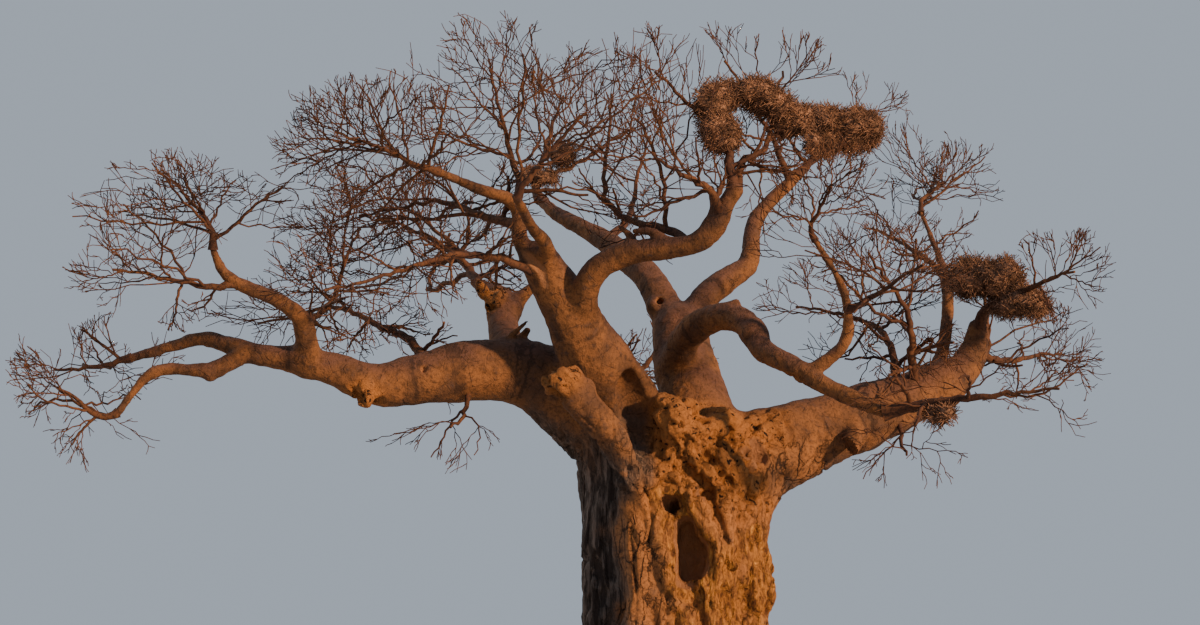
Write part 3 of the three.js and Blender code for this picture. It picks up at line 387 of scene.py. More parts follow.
# Twig masses: name, piece, number of first twigs, lift, stem's radius, way and space
MASSES = (
    Mass("left_tip_twigs", Spray.LEFT, 5, 0.05, (0.08, 0.044),
         ((-11.9, -1.11, 10.33), (-12.4, -1, 10.2)),
         (-13, -0.8, 10.15), (1.5, 1.7, 0.75)),
    Mass("left_hook_twigs", Spray.LEFT, 5, -0.1, (0.08, 0.044),
         ((-11.85, -2.86, 8.92), (-12.1, -2.9, 8.8), (-12.5, -3, 9)),
         (-12.7, -3, 9.2), (1.3, 1.5, 0.65)),
    Mass("left_high_twigs", Spray.LEFT, 11, 0, (0.08, 0.044),
         ((-9.87, -3.29, 12.32), (-9.9, -3.4, 12.7)),
         (-10.1, -3.4, 13.1), (2.1, 2.2, 1.05)),
    Mass("left_side_twigs", Spray.LEFT, 9, 0.05, (0.09, 0.044),
         ((-9.3, -3.08, 11.64), (-10, -3.4, 11.52), (-10.5, -3.6, 11.6)),
         (-11.1, -3.8, 11.7), (1.5, 1.8, 0.85)),
    Mass("inner_riser_twigs", Spray.LEFT, 14, 0.15, (0.09, 0.044),
         ((-8.08, -2.2, 10.7), (-7.9, -1.6, 11.1), (-7.6, -0.9, 11.6)),
         (-7.3, 0.4, 13.1), (1.8, 1.9, 1.25)),
    Mass("inner_low_twigs", Spray.LEFT, 9, 0.05, (0.12, 0.044),
         ((-5.3, -1.15, 9.95), (-5.9, -0.4, 10.8), (-6.5, 0.4, 11.2), (-7.8, 1.8, 11.9)),
         (-8.9, 2.6, 11.8), (2, 1.9, 1)),
    Mass("rear_left_twigs", Spray.REAR, 16, 0.15, (0.17, 0.044),
         ((-3.98, 1.8, 12), (-4.4, 2.4, 12.4), (-5.1, 4.2, 13.5)),
         (-6.4, 5.7, 14.5), (2.3, 2.4, 1.4)),
    Mass("centre_left_twigs", Spray.CENTRE, 18, 0.1, (0.08, 0.044),
         ((-5.06, -4.21, 13.79), (-5.5, -4.45, 13.9)),
         (-6.3, -4.6, 14.25), (2, 2.4, 1.25)),
    Mass("centre_low_twigs", Spray.CENTRE, 12, 0.1, (0.11, 0.044),
         ((-3.48, -2.83, 12.95), (-4.1, -2.3, 13.2), (-5.3, -1.1, 13.8)),
         (-6.2, -0.7, 13.7), (1.9, 2, 1.1)),
    Mass("long_left_twigs", Spray.CENTRE, 11, -0.05, (0.11, 0.044),
         ((-3, -2.75, 11.9), (-3.9, -3.3, 12.15), (-5, -4.7, 11.9)),
         (-6.5, -5.7, 11.2), (1.8, 2, 1.1)),
    Mass("centre_top_twigs", Spray.CENTRE, 12, 0, (0.1, 0.044),
         ((-3.5, -2.88, 13.25), (-3.42, -2.75, 13.8), (-3.6, -2.6, 14.4)),
         (-3.9, -2.5, 15.65), (1.8, 2.2, 1.65)),
    Mass("front_twigs", Spray.CENTRE, 6, 0.2, (0.08, 0.044),
         ((-3.38, -5.95, 12.89), (-3.2, -6.2, 13.2)),
         (-2.6, -6.5, 13.9), (1.9, 2.3, 1.5)),
    Mass("rear_top_twigs", Spray.REAR, 6, 0.1, (0.12, 0.044),
         ((-3.17, 5.94, 15.26), (-3.3, 6.2, 15.6)),
         (-2.9, 6.5, 17.2), (2.2, 2.3, 1.85)),
    Mass("rear_far_twigs", Spray.REAR, 4, 0.25, (0.12, 0.044),
         ((-1.6, 3.9, 13.85), (-1.1, 5, 14.5), (-0.9, 6.2, 15.3)),
         (-0.6, 7.2, 16.7), (1.8, 2.2, 1.5)),
    Mass("arching_side_twigs", Spray.TOP, 5, 0.3, (0.11, 0.044),
         ((0.15, -3.98, 12.3), (-0.1, -3.6, 12.6), (-1.3, -2.6, 13.2), (-1.6, -2.3, 13.7)),
         (-1.5, -1.9, 15.3), (1.6, 2, 1.6)),
    Mass("arching_inner_twigs", Spray.TOP, 6, 0.15, (0.11, 0.044),
         ((0.8, -4.25, 12.85), (0.6, -4.7, 13.25)),
         (-0.2, -5.4, 13.6), (1.3, 1.7, 1.1)),
    Mass("arching_tip_twigs", Spray.TOP, 5, 0.2, (0.12, 0.044),
         ((1.06, -4.3, 13.38), (1, -4.3, 13.9), (0.9, -4.2, 14.4)),
         (-0.1, -4.3, 15.5), (1.4, 2, 1.1)),
    Mass("arching_fork_twigs", Spray.TOP, 6, 0.25, (0.1, 0.044),
         ((1.13, -4.28, 13.38), (1.3, -3.9, 14.1), (1.75, -3.4, 14.45)),
         (2.1, -2.9, 15.9), (1.3, 1.8, 0.95)),
    Mass("upright_fork_twigs", Spray.TOP, 4, 0.25, (0.09, 0.044),
         ((2.75, 2.74, 15.06), (2.5, 2.3, 15.5), (2.3, 1.8, 15.8)),
         (1.5, 1, 17), (1.5, 2, 1)),
    Mass("upright_tip_twigs", Spray.TOP, 6, 0.2, (0.11, 0.044),
         ((2.89, 2.8, 15.19), (3.4, 3, 15.7)),
         (4.4, 3.9, 16.8), (1.5, 2, 1.1)),
    Mass("hooped_riser_twigs", Spray.FRONT, 6, 0.1, (0.06, 0.044),
         ((2.77, -4.08, 12.37), (2.65, -4.3, 12.6)),
         (2.8, -4.7, 12.9), (1.3, 1.9, 1.15)),
    Mass("hooped_side_twigs", Spray.FRONT, 8, 0.05, (0.08, 0.044),
         ((3.48, -3.38, 11), (3.9, -3.8, 11.2)),
         (4.5, -4.7, 11.5), (1.3, 1.8, 1)),
    Mass("right_near_twigs", Spray.FRONT, 10, 0.1, (0.13, 0.044),
         ((5.5, 1.4, 9.95), (5.3, 0.8, 10.5), (5.2, 0.3, 11.4)),
         (4.5, -0.6, 12.3), (1.4, 1.8, 1.1)),
    Mass("right_inner_twigs", Spray.RIGHT, 8, 0.1, (0.12, 0.044),
         ((5.05, 1.5, 9.8), (5, 2, 10.9), (4.7, 2.7, 11.6)),
         (3.5, 4, 12.2), (1.5, 1.8, 1.1)),
    Mass("right_far_twigs", Spray.RIGHT, 10, 0.25, (0.06, 0.044),
         ((5.91, 3.69, 14.47), (5.95, 3.9, 14.8)),
         (6.2, 4.2, 15.1), (1.5, 2, 1.15)),
    Mass("right_rear_twigs", Spray.RIGHT, 7, 0.15, (0.11, 0.044),
         ((6.4, 2.85, 12.45), (6.3, 4, 13.2)),
         (5.3, 6.4, 14.5), (1.8, 2.2, 1.4)),
    Mass("right_high_twigs", Spray.RIGHT, 13, 0.1, (0.15, 0.044),
         ((6.98, 2.15, 11.35), (7.1, 1.8, 11.8), (7.5, 1.1, 12)),
         (8.3, -0.3, 12.2), (1.4, 1.8, 0.95)),
    Mass("right_low_twigs", Spray.RIGHT, 10, 0.05, (0.11, 0.044),
         ((6.9, 2.12, 11.05), (7.4, 2.6, 10.8)),
         (8.8, 3.8, 11.1), (1.4, 1.8, 1)),
    Mass("hooped_tip_twigs", Spray.FRONT, 6, 0, (0.14, 0.044),
         ((4.17, -3.79, 8.815), (4.7, -4, 8.9), (5.5, -4.3, 9)),
         (7, -4.9, 9.1), (1.3, 1.6, 0.65)),
    Mass("right_hanging_twigs", Spray.FRONT, 4, -0.35, (0.07, 0.044),
         ((5.1, 1.1, 9.5), (5, 0.7, 8.9)),
         (5, 0.2, 8.5), (1.4, 1.5, 0.6)),
    Mass("left_hanging_twigs", Spray.LEFT, 4, -0.35, (0.08, 0.044),
         ((-4.5, -1, 9.8), (-4.6, -1.5, 9.25)),
         (-4.7, -2, 8.85), (2, 1.4, 0.62)),
    Mass("back_twigs", Spray.REAR, 8, 0.1, (0.25, 0.044),
         ((-1.11, 5.37, 10.39), (-1.15, 6.1, 10.65)),
         (-1, 7.5, 11.2), (2, 2.3, 1.3)),
)


def smooth_way(way: Sequence[Point], step: float) -> Array:
    """Points at even steps along the centripetal curve through a way's turning points.

    Args:
        way: The turning points, in metres.
        step: How far apart the points lie, about.

    Returns:
        One row for each point.
    """
    knots = np.array(way, float)
    row = np.vstack([2 * knots[0] - knots[1], knots, 2 * knots[-1] - knots[-2]])
    fine = []
    for p0, p1, p2, p3 in zip(row, row[1:], row[2:], row[3:]):
        t1 = math.sqrt(np.linalg.norm(p1 - p0))
        t2 = t1 + math.sqrt(np.linalg.norm(p2 - p1))
        t3 = t2 + math.sqrt(np.linalg.norm(p3 - p2))
        t = np.linspace(t1, t2, 24, endpoint=False)[:, None]
        a1 = ((t1 - t) * p0 + t * p1) / t1
        a2 = ((t2 - t) * p1 + (t - t1) * p2) / (t2 - t1)
        a3 = ((t3 - t) * p2 + (t - t2) * p3) / (t3 - t2)
        b1 = ((t2 - t) * a1 + t * a2) / t2
        b2 = ((t3 - t) * a2 + (t - t1) * a3) / (t3 - t1)
        fine.append(((t2 - t) * b1 + (t - t1) * b2) / (t2 - t1))
    points = np.vstack([*fine, row[-2]])
    run = np.concatenate([[0.0], np.cumsum(np.linalg.norm(np.diff(points, axis=0), axis=1))])
    stations = np.linspace(0.0, run[-1], max(2, round(run[-1] / step)) + 1)
    return np.stack([np.interp(stations, run, points[:, i]) for i in range(3)], axis=1)


def normalised(vectors: Array) -> Array:
    """Each row of vectors at a length of one."""
    return vectors / np.maximum(np.linalg.norm(vectors, axis=-1, keepdims=True), 1e-9)


def smooth_least(a: Array, b: Array, blend: float) -> Array:
    """The lesser of two distances, rounded over a blend's width where they meet."""
    meet = np.maximum(blend - np.abs(a - b), 0) / blend
    return np.minimum(a, b) - meet * meet * (blend * 0.25)


def step_between(values: Array, low: float, high: float) -> Array:
    """Nought below low and one above high, turning smoothly between."""
    share = np.clip((values - low) / (high - low), 0, 1)
    return share * share * (3 - 2 * share)


def clear_of(places: Array, points: Array, radii: Array) -> tuple[Array, Array]:
    """How far places lie from a run's surface, and how far along the run.

    Args:
        places: The places, one row each.
        points: The run's points.
        radii: The run's radius at each point.

    Returns:
        The distances, below nought inside the run, and the lengths along it.
    """
    clear = np.full(len(places), np.inf)
    along = np.zeros(len(places))
    start = 0.0
    for a, b, ra, rb in zip(points, points[1:], radii, radii[1:]):
        span = b - a
        length = float(np.linalg.norm(span))
        off = places - a
        share = np.clip(off @ span / length**2, 0, 1)
        distance = np.linalg.norm(off - share[:, None] * span, axis=1) - (ra + (rb - ra) * share)
        nearer = distance < clear
        clear[nearer] = distance[nearer]
        along[nearer] = start + share[nearer] * length
        start += length
    return clear, along


class Noise:
    """Seeded smooth noise in space, from minus one to one."""

    def __init__(self, seed: int) -> None:
        """Draws the lattice that the noise is read from."""
        draws = np.random.default_rng(seed)
        self.lattice = draws.uniform(-1, 1, (64, 64, 64)).astype(np.float32)

    def at(self, places: Array, cell: float | Sequence[float]) -> Array:
        """The noise at places, for cells of a size in metres.

        Args:
            places: The places, one row each.
            cell: The size of a cell, the same every way or along X, Y and Z.

        Returns:
            One value for each place.
        """
        scaled = places / np.asarray(cell, float)
        base = np.floor(scaled).astype(np.int64)
        share = scaled - base
        share = share * share * (3 - 2 * share)
        total = np.zeros(len(places))
        for corner in product((0, 1), repeat=3):
            index = (base + np.array(corner)) & 63
            weight = np.prod(np.where(corner, share, 1 - share), axis=1)
            total += weight * self.lattice[index[:, 0], index[:, 1], index[:, 2]]
        return total

    def rough(self, places: Array, cell: float | Sequence[float], octaves: int) -> Array:
        """Noise with finer noise on it, each octave half as large and half as strong."""
        sizes = np.asarray(cell, float)
        layers = [self.at(places + 7.3 * i, sizes / 2**i) / 2**i for i in range(octaves)]
        return np.sum(layers, axis=0)


class WoodField:
    """The signed distance to a surface, on a grid: below nought inside the wood."""

    def __init__(self, low: Sequence[float], high: Sequence[float], pitch: float) -> None:
        """Sets out an empty grid between two corners.

        Args:
            low: The lowest corner, in metres.
            high: The highest corner, in metres.
            pitch: The distance between grid points, in metres.
        """
        self.low = np.array(low, float)
        self.pitch = pitch
        self.shape = np.ceil((np.array(high, float) - self.low) / pitch).astype(int) + 1
        self.values = np.full(self.shape, FAR, np.float32)

    def window(self, low: Array, high: Array) -> Window:
        """The part of the grid that holds a box."""
        first = np.clip(np.floor((low - self.low) / self.pitch).astype(int), 0, self.shape - 1)
        last = np.clip(np.ceil((high - self.low) / self.pitch).astype(int), 0, self.shape - 1)
        return tuple(slice(int(a), int(b) + 1) for a, b in zip(first, last))

    def axes(self, window: Window) -> list[Array]:
        """The coordinates of a window's grid points, along each axis."""
        rows = []
        for i, part in enumerate(window):
            row = self.low[i] + self.pitch * np.arange(part.start, part.stop)
            rows.append(row.astype(np.float32).reshape([-1 if k == i else 1 for k in range(3)]))
        return rows

    def run_distance(self, points: Array, radii: Array) -> tuple[Window, Array]:
        """The distance to a run of tapering lengths.

        Args:
            points: The run's points.
            radii: The run's radius at each point.

        Returns:
            The window that holds the run, and the distances in it.
        """
        spread = float(radii.max()) + REACH
        whole = self.window(points.min(0) - spread, points.max(0) + spread)
        distance = np.full([part.stop - part.start for part in whole], FAR, np.float32)
        for a, b, ra, rb in zip(points, points[1:], radii, radii[1:]):
            reach = max(ra, rb) + REACH
            near = self.window(np.minimum(a, b) - reach, np.maximum(a, b) + reach)
            x, y, z = (axis - np.float32(a[i]) for i, axis in enumerate(self.axes(near)))
            span = (b - a).astype(np.float32)
            square = np.float32(span @ span)
            dot = x * span[0] + y * span[1] + z * span[2]
            share = np.clip(dot / square, 0, 1)
            away = x * x + y * y + z * z - share * (2 * dot - share * square)
            found = np.sqrt(np.maximum(away, 0)) - (ra + (rb - ra) * share).astype(np.float32)
            local = tuple(slice(p.start - w.start, p.stop - w.start) for p, w in zip(near, whole))
            distance[local] = np.minimum(distance[local], found)
        return whole, distance

    def lump_distance(self, lump: Lump) -> tuple[Window, Array]:
        """The window that holds a lump, and the distances to it there."""
        at, half = np.array(lump.at, float), np.array(lump.half, float)
        window = self.window(at - half - REACH, at + half + REACH)
        x, y, z = (
            (axis - np.float32(at[i])) / np.float32(half[i])
            for i, axis in enumerate(self.axes(window))
        )
        return window, (np.sqrt(x * x + y * y + z * z) - 1) * np.float32(half.min())

    def join(self, window: Window, distance: Array, blend: float) -> None:
        """Adds wood, with a rounded collar of the blend's width where it meets the rest."""
        self.values[window] = smooth_least(self.values[window], distance, blend)

    def carve(self, window: Window, distance: Array, blend: float) -> None:
        """Takes wood away, with rounded lips of the blend's width."""
        self.values[window] = -smooth_least(-self.values[window], distance, blend)

    def nearest(self, places: Array) -> Array:
        """The value at the grid point nearest to each place, or FAR outside the grid."""
        index = np.rint((places - self.low) / self.pitch).astype(int)
        inside = np.all((index >= 0) & (index < self.shape), axis=1)
        index = np.clip(index, 0, self.shape - 1)
        return np.where(inside, self.values[index[:, 0], index[:, 1], index[:, 2]], FAR)

    def surface(self) -> tuple[Array, Array]:
        """The surface where the distance is nought, as vertices and outward quads."""
        grid = openvdb.FloatGrid(FAR)
        grid.copyFromArray(self.values)
        points, quads = grid.convertToQuads()
        places = points.astype(float) * self.pitch + self.low
        quads = quads.astype(np.int64)
        corners = places[quads]
        across = np.cross(corners[:, 2] - corners[:, 0], corners[:, 3] - corners[:, 1])
        if np.einsum("ij,ij->", corners.mean(1) - places.mean(0), across) < 0:
            quads = quads[:, ::-1]
        return places, quads


def vertex_normals(places: Array, faces: Array) -> Array:
    """The outward direction at each vertex of a mesh of quads."""
    corners = places[faces]
    across = np.cross(corners[:, 2] - corners[:, 0], corners[:, 3] - corners[:, 1])
    total = np.zeros_like(places)
    for axis in range(3):
        weights = np.repeat(across[:, axis], faces.shape[1])
        total[:, axis] = np.bincount(faces.ravel(), weights, minlength=len(places))
    return normalised(total)


def evened(places: Array, faces: Array, share: float) -> Array:
    """Each vertex moved a share of the way to the middle of its neighbours."""
    ahead = np.roll(faces, -1, axis=1).ravel()
    behind = np.roll(faces, 1, axis=1).ravel()
    here = faces.ravel()
    count = np.bincount(here, minlength=len(places)) * 2
    moved = places.copy()
    for axis in range(3):
        weights = places[ahead, axis] + places[behind, axis]
        middle = np.bincount(here, weights, minlength=len(places)) / np.maximum(count, 1)
        moved[:, axis] += share * (middle - places[:, axis])
    return moved


def largest_island(count: int, faces: Array) -> Array:
    """True for each face that belongs to the surface with the most vertices."""
    label = np.arange(count)
    while True:
        low = label[faces].min(axis=1)
        lower = label.copy()
        np.minimum.at(lower, faces.ravel(), np.repeat(low, faces.shape[1]))
        lower = lower[lower]
        if np.array_equal(lower, label):
            break
        label = lower
    kept = np.bincount(label).argmax()
    return label[faces[:, 0]] == kept


def open_edges(faces: Array) -> Array:
    """The edges that only one face has, in that face's own direction."""
    pairs = np.stack([faces.ravel(), np.roll(faces, -1, axis=1).ravel()], axis=1)
    span = int(faces.max()) + 1
    keys = pairs[:, 0] * span + pairs[:, 1]
    facing = pairs[:, 1] * span + pairs[:, 0]
    return pairs[~np.isin(keys, facing)]


def closed_caps(places: Array, faces: Array) -> tuple[Array, Array, Array]:
    """Fans that close every open rim of a surface.

    Args:
        places: The vertices.
        faces: The quads.

    Returns:
        The vertices with one more in the middle of each rim, the fans' triangles, and the rims'
        vertices.
    """
    rim = open_edges(faces)
    onward = dict(rim.tolist())
    middles: list[Array] = []
    fans: list[tuple[int, int, int]] = []
    while onward:
        first, there = onward.popitem()
        loop = [first]
        while there != first and there in onward:
            loop.append(there)
            there = onward.pop(there)
        middle = len(places) + len(middles)
        middles.append(places[loop].mean(axis=0))
        fans += [(b, a, middle) for a, b in zip(loop, loop[1:] + loop[:1])]
    if not middles:
        return places, np.zeros((0, 3), np.int64), np.zeros(0, np.int64)
    return np.vstack([places, middles]), np.array(fans), np.unique(rim)


def mesh_object(name: str, places: Array, faces: Iterable[Sequence[int]]) -> bpy.types.Object:
    """A new smooth-shaded mesh object at the origin.

    Args:
        name: The object's and the mesh's name.
        places: The vertices, in metres.
        faces: The vertex numbers of each face.

    Returns:
        The object, linked to the scene.
    """
    mesh = bpy.data.meshes.new(name)
    mesh.from_pydata(places.tolist(), [], faces)
    mesh.shade_smooth()
    made = bpy.data.objects.new(name, mesh)
    bpy.context.scene.collection.objects.link(made)
    return made


def set_values(mesh: bpy.types.Mesh, name: str, values: Array) -> None:
    """Stores one number for each vertex under a name that materials and nodes can read."""
    held = mesh.attributes.new(name, "FLOAT", "POINT")
    held.data.foreach_set("value", np.ascontiguousarray(values, np.float32))


def triangles(made: bpy.types.Object) -> int:
    """How many triangles an object's mesh has."""
    made.data.calc_loop_triangles()
    return len(made.data.loop_triangles)


def linear(colour: str) -> tuple[float, float, float, float]:
    """An sRGB hex colour, such as "a06c48", as linear red, green, blue and alpha."""
    parts = [int(colour[i:i + 2], 16) / 255 for i in (0, 2, 4)]
    flat = [p / 12.92 if p <= 0.04045 else ((p + 0.055) / 1.055) ** 2.4 for p in parts]
    return flat[0], flat[1], flat[2], 1.0


def per_metre(size_mm: float) -> float:
    """The scale of a pattern whose cells are a size in millimetres."""
    return 1000.0 / size_mm


def add_node(
    tree: bpy.types.NodeTree,
    kind: str,
    settings: dict[str, object] | None = None,
    values: dict[str | int, object] | None = None,
    links: dict[str | int, bpy.types.NodeSocket] | None = None,
) -> bpy.types.Node:
    """Adds a node with its settings, its sockets' values and its links.

    Args:
        tree: The material's or the geometry's node tree.
        kind: The node's type.
        settings: The node's own properties by name.
        values: Values of input sockets, by name or number.
        links: Sockets that feed inputs, by the input's name or number.

    Returns:
        The node.
    """
    node = tree.nodes.new(kind)
    for name, value in (settings or {}).items():
        setattr(node, name, value)
    for key, value in (values or {}).items():
        node.inputs[key].default_value = value
    for key, socket in (links or {}).items():
        tree.links.new(socket, node.inputs[key])
    return node


class Shades:
    """A material's node tree, with the few joints of nodes that the finishes here share."""

    def __init__(self, name: str) -> None:
        """Starts a material with an empty tree and its Object coordinates."""
        self.material = bpy.data.materials.new(name)
        self.material.use_nodes = True
        self.tree = self.material.node_tree
        self.tree.nodes.clear()
        self.place = add_node(self.tree, "ShaderNodeTexCoord").outputs["Object"]

    def stretched(self, scale: Point) -> bpy.types.NodeSocket:
        """The Object coordinates, scaled by a factor along each axis."""
        return add_node(
            self.tree, "ShaderNodeMapping", values={"Scale": scale}, links={"Vector": self.place}
        ).outputs["Vector"]

    def noise(
        self, size_mm: float, detail: float, rough: float = 0.55,
        place: bpy.types.NodeSocket | None = None, warp: float = 0.0,
    ) -> bpy.types.NodeSocket:
        """Cloudy noise whose largest cells are a size in millimetres."""
        return add_node(
            self.tree, "ShaderNodeTexNoise",
            values={
                "Scale": per_metre(size_mm), "Detail": detail, "Roughness": rough,
                "Distortion": warp,
            },
            links={"Vector": place or self.place},
        ).outputs["Fac"]

    def edges(self, size_mm: float, place: bpy.types.NodeSocket | None = None
              ) -> bpy.types.NodeSocket:
        """The distance to the edges between cells of a size in millimetres."""
        return add_node(
            self.tree, "ShaderNodeTexVoronoi", settings={"feature": "DISTANCE_TO_EDGE"},
            values={"Scale": per_metre(size_mm)}, links={"Vector": place or self.place},
        ).outputs["Distance"]

    def warped(self, place: bpy.types.NodeSocket, by: bpy.types.NodeSocket, metres: float
               ) -> bpy.types.NodeSocket:
        """Coordinates pushed aside by a noise, by some metres at most."""
        return add_node(
            self.tree, "ShaderNodeVectorMath", settings={"operation": "MULTIPLY_ADD"},
            values={1: (metres, metres, metres)}, links={0: by, 2: place},
        ).outputs["Vector"]

    def ramp(self, socket: bpy.types.NodeSocket, low: float, high: float,
             bottom: float = 0.0, top: float = 1.0) -> bpy.types.NodeSocket:
        """A value drawn out smoothly from one range to another, and held at its ends."""
        return add_node(
            self.tree, "ShaderNodeMapRange", settings={"interpolation_type": "SMOOTHSTEP"},
            values={"From Min": low, "From Max": high, "To Min": bottom, "To Max": top},
            links={"Value": socket},
        ).outputs["Result"]

    def maths(self, operation: str, first: bpy.types.NodeSocket,
              second: bpy.types.NodeSocket | float) -> bpy.types.NodeSocket:
        """Two values joined by one of the Math node's operations."""
        node = add_node(
            self.tree, "ShaderNodeMath", settings={"operation": operation}, links={0: first}
        )
        if isinstance(second, float):
            node.inputs[1].default_value = second
        else:
            self.tree.links.new(second, node.inputs[1])
        return node.outputs["Value"]

    def held(self, name: str) -> bpy.types.NodeSocket:
        """A number that the mesh holds for each vertex."""
        return add_node(
            self.tree, "ShaderNodeAttribute", settings={"attribute_name": name}
        ).outputs["Fac"]

    def blend(self, share: bpy.types.NodeSocket, under: bpy.types.NodeSocket | str,
              over: bpy.types.NodeSocket | str, kind: str = "MIX") -> bpy.types.NodeSocket:
        """One colour laid over another by a share. A colour is a socket or an sRGB hex."""
        node = add_node(
            self.tree, "ShaderNodeMix", settings={"data_type": "RGBA", "blend_type": kind},
            links={"Factor": share},
        )
        for name, colour in (("A", under), ("B", over)):
            socket = next(s for s in node.inputs if s.name == name and s.type == "RGBA")
            if isinstance(colour, str):
                socket.default_value = linear(colour)
            else:
                self.tree.links.new(colour, socket)
        return next(s for s in node.outputs if s.type == "RGBA")

    def relief(self, height: bpy.types.NodeSocket, depth: float, strength: float,
               under: bpy.types.NodeSocket | None = None) -> bpy.types.NodeSocket:
        """A bump of a depth in metres, laid over another one where it is given."""
        return add_node(
            self.tree, "ShaderNodeBump", values={"Strength": strength, "Distance": depth},
            links={"Height": height, **({"Normal": under} if under else {})},
        ).outputs["Normal"]

    def finish(self, colour: bpy.types.NodeSocket, roughness: bpy.types.NodeSocket,
               normal: bpy.types.NodeSocket, specular: float) -> bpy.types.Material:
        """Closes the tree with its shader.

        Args:
            colour: The base colour.
            roughness: The roughness.
            normal: The bumped normal.
            specular: The specular level, the same all over.

        Returns:
            The material.
        """
        shader = add_node(
            self.tree, "ShaderNodeBsdfPrincipled",
            values={"Metallic": 0.0, "IOR": 1.45, "Specular IOR Level": specular},
            links={"Base Color": colour, "Roughness": roughness, "Normal": normal},
        )
        add_node(
            self.tree, "ShaderNodeOutputMaterial", links={"Surface": shader.outputs["BSDF"]}
        )
        return self.material


@dataclass(frozen=True)
class FoldedBark:
    """Living baobab bark, swollen in folds: smooth and faintly mottled like hide on the boughs,
    cracked into dark upright furrows on the trunk, and torn to fibrous gold where it is rubbed
    away. The gold and a warmer hide on the trunk's side toward the key lamp are partly painted
    sunlight; a grey tone on the side away from it, the pits and the spaces between flakes hold
    painted shade."""

    hide: str = "7a5334"
    dull_hide: str = "513a2d"
    painted_sunlit_hide: str = "9c6a40"
    weathered: str = "463936"
    skylit_bleached_tops: str = "59403a"
    furrow_and_pit_shade: str = "1f1817"
    fibre: str = "9d6c38"
    fibre_highlight: str = "c6944c"
    fibre_shade: str = "56361f"
    sponge: str = "ad7440"
    painted_shade_flank: str = "5f5856"
    speck: str = "46301f"
    rot: str = "8a6246"
    patch_mm: float = 850.0
    mottle_mm: float = 170.0
    pore_mm: float = 34.0
    speck_mm: float = 75.0
    pit_mm: float = 130.0
    crust_mm: float = 110.0
    plate_mm: float = 420.0
    fissure_mm: float = 300.0
    furrow_mm: float = 120.0
    fibre_mm: float = 95.0

    def build(self) -> bpy.types.Material:
        """The material of the trunk's and the boughs' bark."""
        on = Shades("folded_baobab_bark")
        patches = on.noise(self.patch_mm, 4.0)
        mottle = on.noise(self.mottle_mm, 6.0, 0.62)
        pores = on.noise(self.pore_mm, 3.0, 0.6)
        furrowed_shade_side, worn_and_sunlit, rotten = on.held("furrowed_shade_side"), on.held("worn_and_sunlit"), on.held("rotten")
        pitted = on.held("pitted")

        # Hide: orange brown, duller in clouds, warmer with painted sunlight on the trunk's side
        # toward the key lamp below the fork, and with a purple-grey bloom where it has weathered.
        colour = on.blend(on.ramp(patches, 0.38, 0.66), self.hide, self.dull_hide)
        colour = on.blend(on.maths("MULTIPLY", on.held("stem"), 0.45), colour, self.painted_sunlit_hide)
        bloom = on.maths("MULTIPLY", on.ramp(mottle, 0.5, 0.72), 0.75)
        colour = on.blend(bloom, colour, self.weathered)
        # Tops: the boughs' upper sides go a dull purple brown, partly faded by rain and sun and
        # partly painted skylight.
        colour = on.blend(on.maths("MULTIPLY", on.held("upper"), 0.8), colour, self.skylit_bleached_tops)
        specks = on.noise(self.speck_mm, 4.0, 0.7)
        speckled = on.maths("MULTIPLY", on.ramp(specks, 0.46, 0.66), 0.7)
        colour = on.blend(speckled, colour, self.speck)
        colour = on.blend(
            on.maths("MULTIPLY", on.ramp(pores, 0.55, 0.75), 0.45), colour, self.furrow_and_pit_shade
        )
        # Creases that ring a bough where it has bent, drawn along its length.
        length = add_node(
            on.tree, "ShaderNodeCombineXYZ",
            links={"X": on.maths("ADD", on.held("along"), on.maths("MULTIPLY", mottle, 0.35))},
        ).outputs["Vector"]
        rings = on.noise(420.0, 1.0, 0.4, place=length)
        crease = on.maths(
            "SUBTRACT", on.ramp(on.maths("ABSOLUTE", on.maths("SUBTRACT", rings, 0.5), 0.0),
                                0.0, 0.012, 1.0, 0.0), furrowed_shade_side,
        )
        crease = on.maths("MAXIMUM", on.maths("MULTIPLY", crease, on.ramp(patches, 0.4, 0.6)), 0.0)
        colour = on.blend(on.maths("MULTIPLY", crease, 0.55), colour, self.furrow_and_pit_shade)
        # Plates: fine dark lines that part the hide like a tortoise's shell, here and there.
        plates = on.maths(
            "MULTIPLY", on.ramp(on.edges(self.plate_mm), 0.0, 0.035, 1.0, 0.0),
            on.ramp(mottle, 0.42, 0.6),
        )
        colour = on.blend(on.maths("MULTIPLY", plates, 0.5), colour, self.furrow_and_pit_shade)
        # Fissures: thin black crooked cracks down the trunk, that come and go.
        crooked = on.warped(on.stretched((1.0, 1.0, 0.34)), mottle, 0.3)
        fissures = on.maths(
            "MULTIPLY", on.ramp(on.edges(self.fissure_mm, crooked), 0.0, 0.06, 1.0, 0.0),
            on.maths("MULTIPLY", on.ramp(patches, 0.38, 0.5), on.held("stem")),
        )
        colour = on.blend(on.maths("MULTIPLY", fissures, 0.8), colour, self.furrow_and_pit_shade)
        # Furrows: dark, long cracks that run up the flanks away from the key lamp, laid over a grey
        # tone that is painted shade.
        upright = on.stretched((1.0, 1.0, 0.16))
        cracks = on.noise(self.furrow_mm, 5.0, 0.6, place=upright)
        split = on.maths("MULTIPLY", on.ramp(cracks, 0.4, 0.58), furrowed_shade_side)
        colour = on.blend(on.maths("MULTIPLY", furrowed_shade_side, 0.9), colour, self.painted_shade_flank)
        colour = on.blend(on.maths("MULTIPLY", split, 0.85), colour, self.furrow_and_pit_shade)
        # Rubbed wood: gold fibre in short upright flakes with lit edges and brown between; on the
        # trunk's side toward the key lamp its gold is painted sunlight as well.
        flaked = on.stretched((1.0, 1.0, 0.42))
        flakes = on.noise(self.fibre_mm, 5.0, 0.66, place=flaked, warp=0.5)
